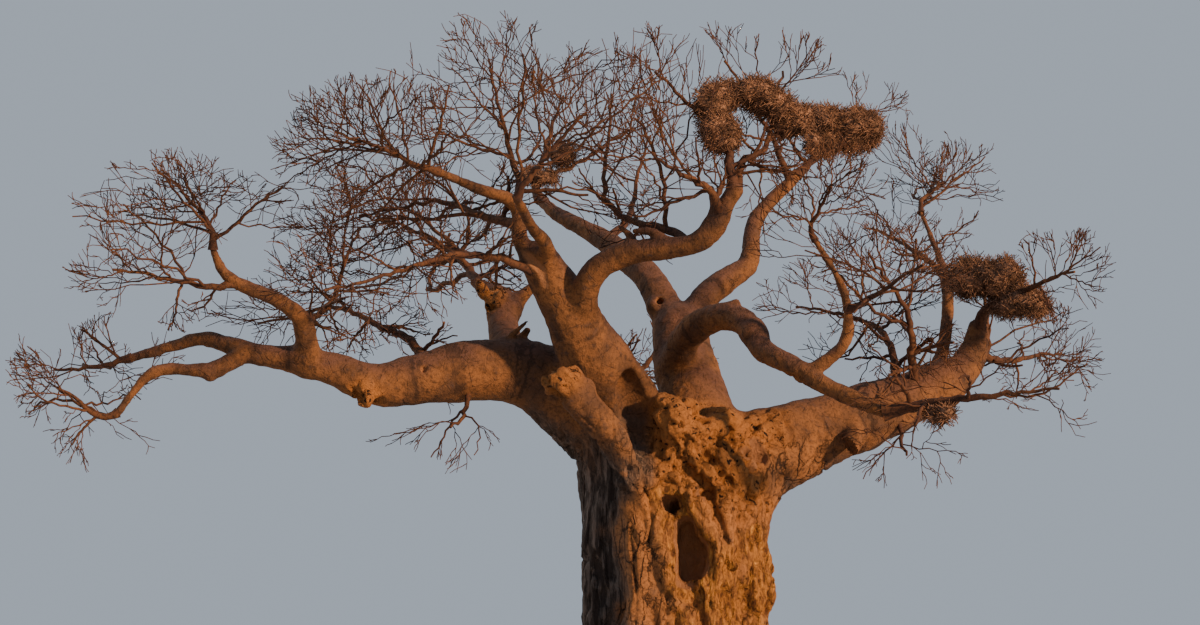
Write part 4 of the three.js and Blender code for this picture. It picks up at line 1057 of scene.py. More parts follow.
        # Painted shade in the low flakes and painted highlights on their raised edges
        fibre = on.blend(on.ramp(flakes, 0.36, 0.6), self.fibre_shade, self.fibre)
        fibre = on.blend(on.ramp(flakes, 0.6, 0.72), fibre, self.fibre_highlight)
        colour = on.blend(worn_and_sunlit, colour, fibre)
        # Pits: ragged holes as wide as a fist, as in a sponge, painted dark inside as painted
        # shade, with painted shade in the hollows of the crust between them.
        holes = on.maths(
            "MULTIPLY", on.ramp(on.noise(self.pit_mm, 3.0, 0.5, warp=0.3), 0.6, 0.67), pitted
        )
        crust = on.noise(self.crust_mm, 6.0, 0.72, warp=0.8)
        spongy = on.blend(on.ramp(crust, 0.32, 0.5), self.fibre_shade, self.sponge)
        colour = on.blend(on.maths("MULTIPLY", pitted, 0.7), colour, spongy)
        colour = on.blend(holes, colour, self.furrow_and_pit_shade)
        colour = on.blend(rotten, colour, self.rot)

        normal = on.relief(mottle, 0.07, 0.6)
        normal = on.relief(specks, 0.03, 0.7, normal)
        normal = on.relief(pores, 0.02, 0.6, normal)
        normal = on.relief(on.maths("MULTIPLY", plates, -1.0), 0.02, 0.5, normal)
        normal = on.relief(on.maths("MULTIPLY", crease, -1.0), 0.02, 0.5, normal)
        normal = on.relief(on.maths("MULTIPLY", fissures, -1.0), 0.08, 0.9, normal)
        normal = on.relief(on.maths("MULTIPLY", split, -1.0), 0.07, 0.9, normal)
        normal = on.relief(on.maths("MULTIPLY", flakes, worn_and_sunlit), 0.13, 0.9, normal)
        normal = on.relief(on.maths("MULTIPLY", crust, pitted), 0.11, 0.9, normal)
        normal = on.relief(on.maths("MULTIPLY", holes, -1.0), 0.08, 0.9, normal)
        return on.finish(colour, on.ramp(mottle, 0.3, 0.7, 0.78, 0.94), normal, 0.25)


@dataclass(frozen=True)
class TwigBark:
    """Thin bark of one to three years' growth, tight and matt, reddish brown with grey scars."""

    bark: str = "472f26"
    young: str = "5d3e2b"
    scarred: str = "2c2220"
    growth_mm: float = 900.0
    scar_mm: float = 70.0

    def build(self) -> bpy.types.Material:
        """The material of the twigs."""
        on = Shades("reddish_twig_bark")
        growth = on.noise(self.growth_mm, 3.0)
        scars = on.noise(self.scar_mm, 3.0, 0.6)
        colour = on.blend(on.ramp(growth, 0.38, 0.64), self.bark, self.young)
        colour = on.blend(on.maths("MULTIPLY", on.ramp(scars, 0.48, 0.62), 0.7), colour,
                          self.scarred)
        normal = on.relief(scars, 0.012, 0.6)
        return on.finish(colour, on.ramp(scars, 0.3, 0.7, 0.75, 0.92), normal, 0.25)


@dataclass(frozen=True)
class HeapedSticks:
    """Dead thorny sticks, carried up and heaped: weathered dark brown, with paler broken ends."""

    stick: str = "5f4a3e"
    dry: str = "94725f"
    gap: str = "382a25"
    bundle_mm: float = 260.0
    stick_mm: float = 45.0

    def build(self) -> bpy.types.Material:
        """The material of the nests."""
        on = Shades("heaped_thorn_sticks")
        bundles = on.noise(self.bundle_mm, 4.0)
        sticks = on.noise(self.stick_mm, 3.0, 0.65)
        colour = on.blend(on.ramp(bundles, 0.36, 0.62), self.stick, self.dry)
        # Painted shade in the dark spaces between the sticks
        colour = on.blend(on.ramp(sticks, 0.5, 0.64), colour, self.gap)
        normal = on.relief(sticks, 0.03, 0.8)
        return on.finish(colour, on.ramp(sticks, 0.3, 0.7, 0.85, 0.97), normal, 0.15)


@dataclass(frozen=True)
class PaleFloor:
    """A studio floor of matt pale paint, rolled on."""

    paint: str = "cfcac2"
    worn_paint: str = "c4beb5"
    roller_mm: float = 1800.0

    def build(self) -> bpy.types.Material:
        """The material of the floor."""
        on = Shades("rolled_pale_paint")
        clouds = on.noise(self.roller_mm, 2.0)
        colour = on.blend(clouds, self.paint, self.worn_paint)
        normal = on.relief(on.noise(30.0, 2.0), 0.001, 0.2)
        return on.finish(colour, on.ramp(clouds, 0.2, 0.8, 0.8, 0.9), normal, 0.2)


@dataclass
class Woodwork:
    """The trunk and the boughs, grown together as one surface and split into closed pieces."""

    pitch: float = 0.053
    low: Point = (-12.35, -6.4, -0.25)
    high: Point = (7.5, 6.4, 15.6)
    limb_step: float = 0.2
    label_step: float = 0.55
    swelling: float = 0.07
    lumpy: float = 0.042
    grain: float = 0.014
    furrow_depth: float = 0.14
    flake_height: float = 0.1
    knot_height: float = 0.11
    pit_depth: float = 0.13
    seam_depth: float = 0.09
    lit_side: float = 318.0
    worn_side: float = 322.0
    back_worn_side: float = 95.0
    trunk_top: float = 9.6
    furrowed_top: float = 9.3
    worn_top: float = 6.3
    back_worn_top: float = 4.6
    pitted_top: float = 9.75
    stem_top: float = 8.9
    noise_seed: int = 7
    wood: WoodField = field(init=False)
    noise: Noise = field(init=False)

    def __post_init__(self) -> None:
        """Sets out the grid and the noise."""
        self.wood = WoodField(self.low, self.high, self.pitch)
        self.noise = Noise(self.noise_seed)

    def section(self, heights: Array) -> list[Array]:
        """The trunk's middle, half width and half depth at heights, eased between its rows."""
        rows = np.array(TRUNK_PROFILE, float)
        offsets = np.linspace(-0.45, 0.45, 7)
        return [
            np.mean([np.interp(heights + o, rows[:, 0], rows[:, i]) for o in offsets], axis=0)
            for i in (1, 2, 3, 4)
        ]

    def fold_out(self, height: Array, turn: Array) -> Array:
        """How far the trunk's folds stand out, less its creases, at heights and turns round it."""
        out = np.zeros(np.broadcast(height, turn).shape, np.float32)
        wander = 5 * np.sin(height * 0.9 + 1.3) + 3 * np.sin(height * 2.3)
        foot = ROOT_FOOT_OUT * np.exp(-np.maximum(height, 0) / ROOT_FOOT_HEIGHT)
        for fold in TRUNK_FOLDS:
            away = np.abs((turn - fold.turn + 540) % 360 - 180) / fold.spread
            fade = np.clip((fold.to - height) / FOLD_FADE, 0, 1)
            out += ((fold.out * fade + foot) * np.exp(-away * away)).astype(np.float32)
        for crease in CREASES:
            away = np.abs((turn - crease.turn + wander + 540) % 360 - 180) / crease.spread
            fade = np.clip((crease.to - height) / FOLD_FADE, 0, 1)
            out -= (crease.out * fade * np.exp(-away * away)).astype(np.float32)
        return out

    def grow_trunk(self) -> None:
        """Fills the grid with the fluted trunk, up to its rounded top in the fork."""
        window = self.wood.window(np.array([-3.9, -3.8, self.low[2]]), np.array([3.9, 3.8, 9.7]))
        x, y, z = self.wood.axes(window)
        middle_x, middle_y, half_x, half_y = (
            values.astype(np.float32).reshape(1, 1, -1) for values in self.section(z.ravel())
        )
        across, depth = (x - middle_x) / half_x, (y - middle_y) / half_y
        turn = np.degrees(np.arctan2(depth, across)).astype(np.float32) % 360
        out = self.fold_out(z, turn)
        distance = (np.sqrt(across * across + depth * depth) - 1) * (half_x + half_y) / 2 - out
        distance = -smooth_least(-distance, -(z - TRUNK_TOP), 0.5)
        self.wood.values[window] = np.minimum(distance, FAR)

    def limb_run(self, run: Limb | Run, step: float) -> tuple[Array, Array]:
        """A limb's points, and its radii with the swellings of an old bough."""
        points = smooth_way(run.way, step)
        radii = np.linspace(run.radius[0], run.radius[1], len(points))
        swell = self.noise.at(points, 0.95) + 0.5 * self.noise.at(points, 0.4)
        return points, radii * (1 + self.swelling * swell)

    def grow_limb(self, run: Limb | Run) -> None:
        """Joins one limb to the wood, with a collar where it leaves."""
        points, radii = self.limb_run(run, min(self.limb_step, 0.6 * run.radius[0]))
        collar = float(np.clip(0.55 * run.radius[0], 0.07, 0.4))
        self.wood.join(*self.wood.run_distance(points, radii), collar)

    def grow(self) -> None:
        """Grows trunk, limbs, ribs, lumps and stubs, then cuts the hollows."""
        self.grow_trunk()
        for limb in LIMBS:
            self.grow_limb(limb)
            if limb.knob:
                self.grow_limb(limb.knob)
        for lump in LUMPS:
            self.wood.join(*self.wood.lump_distance(lump), 0.2)
        for detail in (*RIBS, *STUBS):
            self.wood.join(*self.detail_distance(detail), detail.blend)
        for detail in (*RECESSES, *HOLLOWS):
            self.wood.carve(*self.detail_distance(detail), detail.blend)

    def detail_distance(self, detail: Detail) -> tuple[Window, Array]:
        """The window that holds a rib or a hollow, and the distances to it there."""
        points = smooth_way(detail.points, 0.12)
        given = np.array(detail.points, float)
        ends = np.concatenate([[0], np.cumsum(np.linalg.norm(np.diff(given, axis=0), axis=1))])
        stations = np.linspace(0, ends[-1], len(points))
        return self.wood.run_distance(points, np.interp(stations, ends, detail.radii))

    def marks(self, places: Array) -> dict[str, Array]:
        """Where the bark is the trunk's own, cracked into furrows, rubbed to gold, pitted or
        rotten.
        The trunk's own bark and the gold lie on the side toward the key lamp and carry painted
        sunlight; the side of the furrows, away from it, carries painted shade.

        Args:
            places: The vertices.

        Returns:
            Shares from nought to one, by the name of the mark.
        """
        x, y, z = places.T
        cloud = self.noise.rough(places, 1.1, 3)
        turn = np.degrees(np.arctan2(y, x)) % 360
        trunk = step_between(-np.hypot(x, y) + 0.25 * cloud, -3.4, -2.75) * (z < self.trunk_top)
        lit = step_between(np.cos(np.radians(turn - self.lit_side)) + 0.5 * cloud, -0.1, 0.5)
        # The side away from the key lamp: its furrows are real, and its grey tone is painted shade
        furrowed_shade_side = trunk * (1 - lit)
        furrowed_shade_side *= step_between(self.furrowed_top - z + 0.6 * cloud, 0, 1.1)
        # Gold of rubbed wood low on the side toward the key lamp, painted sunlight as well as wear;
        # then the back
        worn_and_sunlit = trunk * step_between(self.worn_top - z + 0.9 * cloud, 0, 0.7)
        worn_and_sunlit *= step_between(np.cos(np.radians(turn - self.worn_side)) + 0.35 * cloud, 0.55, 0.8)
        back = np.cos(np.radians(turn - self.back_worn_side))
        back = trunk * step_between(back + 0.3 * cloud, 0.7, 0.9)
        worn_and_sunlit = np.maximum(worn_and_sunlit, back * step_between(self.back_worn_top - z + cloud, 0, 0.8))
        pitted = step_between(x + 0.3 * cloud, -0.8, -0.45) * step_between(z, 6.2, 7.4)
        pitted *= step_between(2.6 - x + 0.6 * cloud, 0, 0.7) * step_between(-y, -0.4, 0.3)
        pitted *= step_between(self.pitted_top - z + 0.4 * cloud, 0, 0.6)
        for end in BROKEN_ENDS:
            away = np.linalg.norm(places - end, axis=1)
            pitted = np.maximum(pitted, 1 - step_between(away, 0.5 * BROKEN_REACH, BROKEN_REACH))
        rotten = np.zeros(len(places))
        for number, detail in enumerate(HOLLOWS):
            points = np.array(detail.points, float)
            box = np.all((places > points.min(0) - 0.8) & (places < points.max(0) + 0.8), axis=1)
            clear, _ = clear_of(places[box], points, np.array(detail.radii))
            found = 1 - step_between(clear, -0.005, 0.03)
            rotten[box] = np.maximum(rotten[box], found)
            # Round the tall hollow the lips take the rubbed gold, which is partly painted sunlight
            if number < MAIN_HOLLOW_CUTS:
                lip = 1 - step_between(clear + 0.15 * cloud[box], 0.1, 0.4)
                worn_and_sunlit[box] = np.maximum(worn_and_sunlit[box], lip)
        return {
            "furrowed_shade_side": np.clip(furrowed_shade_side, 0, 1), "worn_and_sunlit": np.clip(worn_and_sunlit * (1 - furrowed_shade_side), 0, 1),
            "pitted": np.clip(pitted * (1 - worn_and_sunlit), 0, 1), "rotten": rotten,
            # The trunk's own bark on the side toward the key lamp, below the fork, takes the
            # painted sunlit hide
            "stem": np.clip(
                trunk * (1 - furrowed_shade_side) * (1 - rotten) * step_between(self.stem_top - z, 0, 0.7),
                0, 1,
            ),
        }

    def relief(self, places: Array, marks: dict[str, Array]) -> Array:
        """How far the bark stands out at each vertex, in metres."""
        noise = self.noise
        girth = np.clip(1 - np.abs(places[:, 2] - 5) / 14, 0.25, 1)
        out = self.lumpy * girth * noise.rough(places, 0.62, 3)
        out += self.grain * noise.rough(places + 11.0, 0.17, 2)
        ridges = np.abs(noise.rough(places + 5.0, (0.26, 0.26, 1.7), 2))
        out -= marks["furrowed_shade_side"] * self.furrow_depth * np.clip(1 - ridges / 0.3, 0, 1)
        flakes = noise.rough(places + 3.0, (0.2, 0.2, 0.5), 3)
        out += marks["worn_and_sunlit"] * self.flake_height * np.sign(flakes) * np.sqrt(np.abs(flakes))
        knots = noise.rough(places + 9.0, 0.32, 3)
        holes = step_between(noise.rough(places + 17.0, 0.24, 2), 0.15, 0.5)
        out += marks["pitted"] * (self.knot_height * knots - self.pit_depth * holes)
        trunk = step_between(9.4 - places[:, 2], 0, 1.5)
        trunk = trunk * (1 - marks["worn_and_sunlit"]) * (1 - marks["furrowed_shade_side"])
        seams = np.abs(noise.rough(places + 23.0, (0.5, 0.5, 1.5), 2))
        out -= trunk * self.seam_depth * np.clip(1 - seams / 0.16, 0, 1)
        return out * (1 - 0.8 * marks["rotten"])

    def owners(self, places: Array) -> tuple[Array, Array]:
        """Which piece each vertex belongs to, and how far along its limb it is.

        Args:
            places: The vertices.

        Returns:
            The number of the piece in the order of Part, and the length along the limb.
        """
        order = {part: i for i, part in enumerate(Part)}
        nearest = np.where(places[:, 2] < 9.4, np.hypot(places[:, 0], places[:, 1]) - 2.2, np.inf)
        owner = np.full(len(places), order[Part.TRUNK])
        length = places[:, 2].copy()
        for limb in LIMBS:
            points, radii = self.limb_run(limb, self.label_step)
            box = np.all((places > points.min(0) - 1.5) & (places < points.max(0) + 1.5), axis=1)
            clear, along = clear_of(places[box], points, radii)
            index = np.flatnonzero(box)[clear < nearest[box]]
            nearer = clear < nearest[box]
            nearest[index] = clear[nearer]
            length[index] = along[nearer]
            owner[index] = np.where(along[nearer] < limb.cut, order[Part.TRUNK], order[limb.part])
        return owner, length

    def build(self) -> dict[Part, bpy.types.Object]:
        """Grows the wood and makes each piece's mesh, closed and with its marks.

        Returns:
            The pieces' objects.
        """
        self.grow()
        places, quads = self.wood.surface()
        quads = quads[largest_island(len(places), quads)]
        places = evened(places, quads, 0.5)
        marks = self.marks(places)
        normals = vertex_normals(places, quads)
        # Upward-facing bark high in the crown takes the purple-brown tops: partly weather, partly
        # painted skylight
        facing = normals[:, 2] + 0.45 * self.noise.rough(places + 31.0, 0.8, 3)
        marks["upper"] = step_between(facing, -0.1, 0.75) * step_between(places[:, 2], 8.8, 10.2)
        places += normals * self.relief(places, marks)[:, None]
        owner, along = self.owners(places)
        quads = quads[places[quads][:, :, 2].max(axis=1) > 0]
        places[:, 2] = np.maximum(places[:, 2], 0)
        values = {**marks, "along": along}
        made = {}
        face_owner = np.sort(owner[quads], axis=1)[:, 1]
        for number, part in enumerate(Part):
            made[part] = self.piece(part, places, quads[face_owner == number], values)
        return made

    def piece(self, part: Part, places: Array, quads: Array,
              values: dict[str, Array]) -> bpy.types.Object:
        """One closed piece of the surface, with the values that its material reads."""
        kept, local = np.unique(quads, return_inverse=True)
        local = local.reshape(quads.shape)
        own = local[largest_island(len(kept), local)]
        whole, fans, rim = closed_caps(places[kept], own)
        made = mesh_object(part.value, whole, own.tolist() + fans.tolist())
        for name, held in values.items():
            padded = np.zeros(len(whole))
            padded[:len(kept)] = held[kept]
            set_values(made.data, name, padded)
        edges = np.zeros(len(made.data.edges) * 2, np.int32)
        made.data.edges.foreach_get("vertices", edges)
        on_rim = np.isin(edges.reshape(-1, 2), rim).all(axis=1)
        sharp = made.data.attributes.new("sharp_edge", "BOOLEAN", "EDGE")
        sharp.data.foreach_set("value", on_rim)
        return made

    def dress(self, pieces: dict[Part, bpy.types.Object], bark: bpy.types.Material) -> None:
        """Gives each piece its bark, its body and the nodes that it stands for."""
        for part, made in pieces.items():
            made.data.materials.append(bark)
            nodes = [limb.name for limb in LIMBS if limb.part is part]
            if part is Part.TRUNK:
                nodes.append("trunk")
            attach(made, "root")
            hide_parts(*nodes)
            LOG.info("%s: %d triangles", made.name, triangles(made))


@dataclass(frozen=True)
class Order:
    """How side shoots leave their parent: number, steps, length and thickness as shares of the
    parent's, the angle they leave at, how much they turn up, bow and zigzag, and where the first
    and the last sit. The first order's length is a share of the way to its space's edge."""

    count: int
    steps: int
    length: float
    thickness: float
    spread: float
    lift: float
    bow: float
    zigzag: float
    first: float
    last: float


@dataclass
class Shoots:
    """Rows of points that grow side by side, one row for each shoot."""

    points: Array
    steps: Array
    foot: Array
    tip: Array
    mass: Array
    length: Array
    turn: Array
    taper: Array

    def kept(self, which: Array) -> "Shoots":
        """The shoots that a row of trues or of numbers picks out."""
        return Shoots(*(getattr(self, name)[which] for name in self.__dataclass_fields__))

    def radius(self, share: Array) -> Array:
        """Each shoot's radius at a share of its length."""
        wide = (len(self.foot),) + (1,) * (np.ndim(share) - 1)
        foot, tip, taper = (v.reshape(wide) for v in (self.foot, self.tip, self.taper))
        return tip + (foot - tip) * (1 - share) ** taper


class Spaces:
    """Where in the crown twigs may grow: in the masses' reach, clear of wood and nests."""

    def __init__(self, stems: list[tuple[Array, Array]], wood: WoodField, pitch: float,
                 edge: float, ragged: float, sleeve: float, nest_clearance: float,
                 overhang: Point) -> None:
        """Marks the open cells of the crown.

        Args:
            stems: Each mass's stem, as its points and radii.
            wood: The distance to the trunk and the boughs.
            pitch: The size of a cell, in metres.
            edge: How far out twigs may go, as a share of a mass's reach.
            ragged: How much the edge comes and goes.
            sleeve: How far round its stem a mass reaches.
            nest_clearance: How far from a nest's middle twigs may start, as a share of its size.
            overhang: How far twigs may stand out of the solids' own box, along each axis.
        """
        self.wood = wood
        self.grid = WoodField((-15.0, -9.4, 7.4), (10.6, 10.4, 19.9), pitch)
        box = np.array(CAD_BOX, float)
        boxed = self.grid.window(box[0] - np.array(overhang), box[1] + np.array(overhang))
        best = np.full(self.grid.shape, 9.0, np.float32)
        for mass, (points, radii) in zip(MASSES, stems):
            at, reach = np.array(mass.at), np.array(mass.reach)
            low = np.minimum(at - 1.25 * reach, points.min(0) - 1.25 * sleeve)
            high = np.maximum(at + 1.25 * reach, points.max(0) + 1.25 * sleeve)
            window = self.grid.window(low, high)
            x, y, z = self.grid.axes(window)
            ball = np.sqrt(sum(((a - at[i]) / reach[i]) ** 2 for i, a in enumerate((x, y, z))))
            places = np.stack([g.ravel() for g in np.broadcast_arrays(x, y, z)], axis=1)
            clear, _ = clear_of(places.astype(float), points, radii)
            share = np.minimum(ball, clear.reshape(ball.shape) / sleeve).astype(np.float32)
            best[window] = np.minimum(best[window], share)
        x, y, z = self.grid.axes(tuple(slice(0, int(n)) for n in self.grid.shape))
        near = best < 1.4
        cells = np.stack([np.broadcast_to(a, best.shape)[near] for a in (x, y, z)], axis=1)
        best[near] -= ragged * Noise(3).rough(cells, 0.7, 2)
        self.open = best < edge
        outside = np.ones(self.open.shape, bool)
        outside[boxed] = False
        self.open[outside] = False
        for nest in NESTS:
            for lump in nest.lumps:
                at, half = np.array(lump.at), np.array(lump.half) * nest_clearance
                window = self.grid.window(at - half, at + half)
                x, y, z = self.grid.axes(window)
                self.open[window] &= sum(
                    ((a - at[i]) / half[i]) ** 2 for i, a in enumerate((x, y, z))
                ) > 1

    def free(self, places: Array, clearance: Array) -> Array:
        """True where a place is in the masses' space and clear of the wood."""
        index = np.rint((places - self.grid.low) / self.grid.pitch).astype(int)
        index = np.clip(index, 0, self.grid.shape - 1)
        inside = self.open[index[:, 0], index[:, 1], index[:, 2]]
        return inside & (self.wood.nearest(places) > clearance)


@dataclass
class Crown:
    """The masses of leafless twigs, grown by one rule from each mass's stem."""

    wood: WoodField
    seed: int = 25
    stem_step: float = 0.16
    stem_on: float = 0.5
    sleeve: float = 0.9
    cell: float = 0.15
    edge: float = 1.13
    ragged: float = 0.2
    overhang: Point = (0.4, 0.3, 0.15)
    nest_clearance: float = 1.18
    limb_clearance: float = 0.05
    length_draw: tuple[float, float] = (0.6, 1.3)
    spread_draw: float = 14.0
    golden_turn: float = 137.5
    wander: float = 0.2
    least_grown: float = 0.4
    bend_per_try: float = 1.0
    outward: float = 0.35
    step_lift: float = 0.16
    tries: int = 3
    tip_share: float = 0.5
    stem_tip: float = 0.028
    stem_taper: float = 1.4
    more_twigs: float = 1.1
    orders: tuple[Order, ...] = (
        Order(0, 11, 1.5, 0.62, 52, 0.0, 0.05, 0.24, 0.08, 0.96),
        Order(5, 7, 0.92, 0.6, 44, 0.06, 0.06, 0.24, 0.12, 0.94),
        Order(3, 5, 0.66, 0.7, 44, 0.1, 0.1, 0.2, 0.16, 0.94),
        Order(2, 3, 0.62, 0.86, 46, 0.14, 0.14, 0.12, 0.24, 0.92),
    )
    sides: tuple[int, ...] = (8, 6, 4, 3, 3)
    least_radius: float = 0.0115

    def stems(self) -> list[tuple[Array, Array]]:
        """Each mass's stem, along its way, through the middle of its space and on."""
        runs = []
        for mass in MASSES:
            at, before = np.array(mass.at), np.array(mass.way[-1])
            onward = normalised(at - before) * np.array(mass.reach)
            far = at + self.stem_on * onward
            points = smooth_way((*mass.way, mass.at, tuple(far)), self.stem_step)
            runs.append((points, np.linspace(mass.radius[0], self.stem_tip, len(points))))
        return runs

    def stem_shoots(self, runs: list[tuple[Array, Array]], rng: np.random.Generator) -> Shoots:
        """The stems as parents of the first twigs, with a little wander of their own."""
        most = max(len(points) for points, _ in runs)
        points = np.stack([
            np.vstack([p, np.repeat(p[-1:], most - len(p), axis=0)]) for p, _ in runs
        ])
        steps = np.array([len(p) - 1 for p, _ in runs])
        share = np.arange(most)[None, :, None] / steps[:, None, None]
        points = points + rng.normal(0, 0.018, points.shape) * np.clip(share * 6, 0, 1)
        return Shoots(
            points, steps, np.array([m.radius[0] for m in MASSES]),
            np.full(len(MASSES), self.stem_tip), np.arange(len(MASSES)),
            np.array([np.cbrt(np.prod(m.reach)) for m in MASSES]), np.zeros(len(MASSES)),
            np.full(len(MASSES), self.stem_taper),
        )

    def side_shoots(self, parents: Shoots, counts: Array, order: Order, spaces: Spaces,
                    rng: np.random.Generator) -> Shoots:
        """Grows the side shoots of a row of parents, step by step.

        Args:
            parents: The shoots that they leave.
            counts: How many each parent bears.
            order: How they leave and grow.
            spaces: Where each mass's shoots may go.
            rng: The seeded draws.

        Returns:
            The shoots that found a free way.
        """
        who = np.repeat(np.arange(len(counts)), counts)
        number = np.arange(len(who)) - np.repeat(np.cumsum(counts) - counts, counts)
        drawn = len(who)
        seat = (number + 0.5 + rng.uniform(-0.3, 0.3, drawn)) / counts[who]
        whole = order.first + (order.last - order.first) * seat
        station = np.minimum(whole * parents.steps[who], parents.steps[who] - 1e-6)
        step = station.astype(int)
        a, b = parents.points[who, step], parents.points[who, step + 1]
        foot = a + (b - a) * (station - step)[:, None]
        along = normalised(b - a)
        mass = parents.mass[who]
        lift = np.array([m.lift for m in MASSES])[mass] + order.lift
        at, reach = (np.array([getattr(m, n) for m in MASSES])[mass] for n in ("at", "reach"))

        upright = np.where(np.abs(along[:, 2:]) > 0.9, [[1.0, 0, 0]], [[0, 0, 1.0]])
        across = normalised(upright - along * np.sum(upright * along, axis=1, keepdims=True))
        beside = np.cross(along, across)
        turn = np.radians(parents.turn[who] + number * self.golden_turn)[:, None]
        leave = np.radians(order.spread + rng.uniform(-1, 1, (drawn, 1)) * self.spread_draw)
        side = across * np.cos(turn) + beside * np.sin(turn)
        heading = along * np.cos(leave) + side * np.sin(leave)
        heading = heading + self.outward * (foot - at) / reach + lift[:, None] * UP
        radius = parents.kept(who).radius(whole) * order.thickness
        radius = np.maximum(radius, self.least_radius)
        if order.count:
            heading = normalised(heading)
            length = parents.length[who] * order.length * (1.25 - 0.6 * whole)
        else:
            heading = normalised(heading * reach)
            length = self.to_edge(foot, heading, at, reach) * order.length
        length *= rng.uniform(*self.length_draw, drawn)
        bow = order.bow * normalised(rng.normal(size=(drawn, 3)))
        sway = order.zigzag * normalised(np.cross(heading, rng.normal(size=(drawn, 3))))

        points = np.repeat(foot[:, None], order.steps + 1, axis=1)
        steps = np.zeros(drawn, int)
        alive = np.ones(drawn, bool)
        for number_now in range(order.steps):
            here = points[:, number_now]
            found = ~alive
            onward = here.copy()
            for attempt in range(self.tries):
                todo = np.flatnonzero(~found)
                if not len(todo):
                    break
                bend = self.wander * (1 + self.bend_per_try * attempt)
                turned = heading[todo] + bow[todo] + bend * rng.uniform(-1, 1, (len(todo), 3))
                turned = normalised(turned + (self.step_lift * lift[todo])[:, None] * UP)
                kinked = normalised(turned + sway[todo] * (-1) ** number_now)
                stride = kinked * (length[todo] / order.steps)[:, None]
                clearance = self.limb_clearance + radius[todo]
                ok = spaces.free(here[todo] + stride, clearance)
                ok &= spaces.free(here[todo] + stride / 2, clearance)
                good = todo[ok]
                onward[good] = here[good] + stride[ok]
                heading[good] = turned[ok]
                found[good] = True
            alive &= found
            points[:, number_now + 1] = np.where(alive[:, None], onward, here)
            steps += alive
        grown = steps / order.steps
        radius = np.maximum(radius * np.sqrt(grown), self.least_radius)
        tip = np.maximum(radius * self.tip_share, 0.7 * self.least_radius)
        made = Shoots(points, steps, radius, tip, mass, length * grown,
                      rng.uniform(0, 360, drawn), np.ones(drawn))
        return made.kept(grown > self.least_grown)

    def to_edge(self, foot: Array, heading: Array, at: Array, reach: Array) -> Array:
        """How far it is from each foot along its heading to its space's edge, at least a sleeve."""
        from_middle, onward = (foot - at) / reach, heading / reach
        square = np.sum(onward * onward, axis=1)
        dot = np.sum(from_middle * onward, axis=1)
        root = dot * dot - square * (np.sum(from_middle * from_middle, axis=1) - 1)
        return np.maximum((np.sqrt(np.maximum(root, 0)) - dot) / square, self.sleeve)

    def grow(self) -> list[Shoots]:
        """All shoots, order by order, from the stems to the finest spurs."""
        rng = np.random.default_rng(self.seed)
        runs = self.stems()
        spaces = Spaces(runs, self.wood, self.cell, self.edge, self.ragged, self.sleeve,
                        self.nest_clearance, self.overhang)
        rows = [self.stem_shoots(runs, rng)]
        for number, order in enumerate(self.orders):
            parents = rows[-1]
            if number == 0:
                counts = np.array([round(m.twigs * self.more_twigs) for m in MASSES])
            else:
                grown = parents.steps / self.orders[number - 1].steps
                counts = np.maximum(np.rint(order.count * np.sqrt(grown)), 1).astype(int)
            rows.append(self.side_shoots(parents, counts, order, spaces, rng))
            LOG.info("twigs of order %d: %d", number, len(rows[-1].steps))
        return rows

    def lines(self, name: str, rows: list[Shoots], masses: set[int]) -> bpy.types.Object:
        """The middle lines of some masses' shoots, with each point's thickness and order.

        Args:
            name: The object's name.
            rows: The shoots, order by order.
            masses: The numbers of the masses to draw.

        Returns:
            An object of loose edges.
        """
        places, thickness, orders, edges, base = [], [], [], [], 0
        for order, shoots in enumerate(rows):
            shoots = shoots.kept(np.isin(shoots.mass, list(masses)))
            count = shoots.points.shape[1]
            station = np.arange(count)[None, :]
            valid = station <= shoots.steps[:, None]
            share = station / np.maximum(shoots.steps[:, None], 1)
            radius = shoots.radius(np.minimum(share, 1))
            if order == 0:
                radius = radius * (1 + 0.45 * np.exp(-station * self.stem_step / 0.16))
            index = base + np.cumsum(valid.ravel()).reshape(valid.shape) - 1
            linked = valid[:, 1:]
            edges.append(np.stack([index[:, :-1][linked], index[:, 1:][linked]], axis=1))
            places.append(shoots.points[valid])
            thickness.append(radius[valid])
            orders.append(np.full(int(valid.sum()), order))
            base += int(valid.sum())
        mesh = bpy.data.meshes.new(name)
        mesh.from_pydata(np.vstack(places).tolist(), np.vstack(edges).tolist(), [])
        set_values(mesh, "thickness", np.concatenate(thickness))
        held = mesh.attributes.new("order", "INT", "POINT")
        held.data.foreach_set("value", np.concatenate(orders).astype(np.int32))
        made = bpy.data.objects.new(name, mesh)
        bpy.context.scene.collection.objects.link(made)
        return made

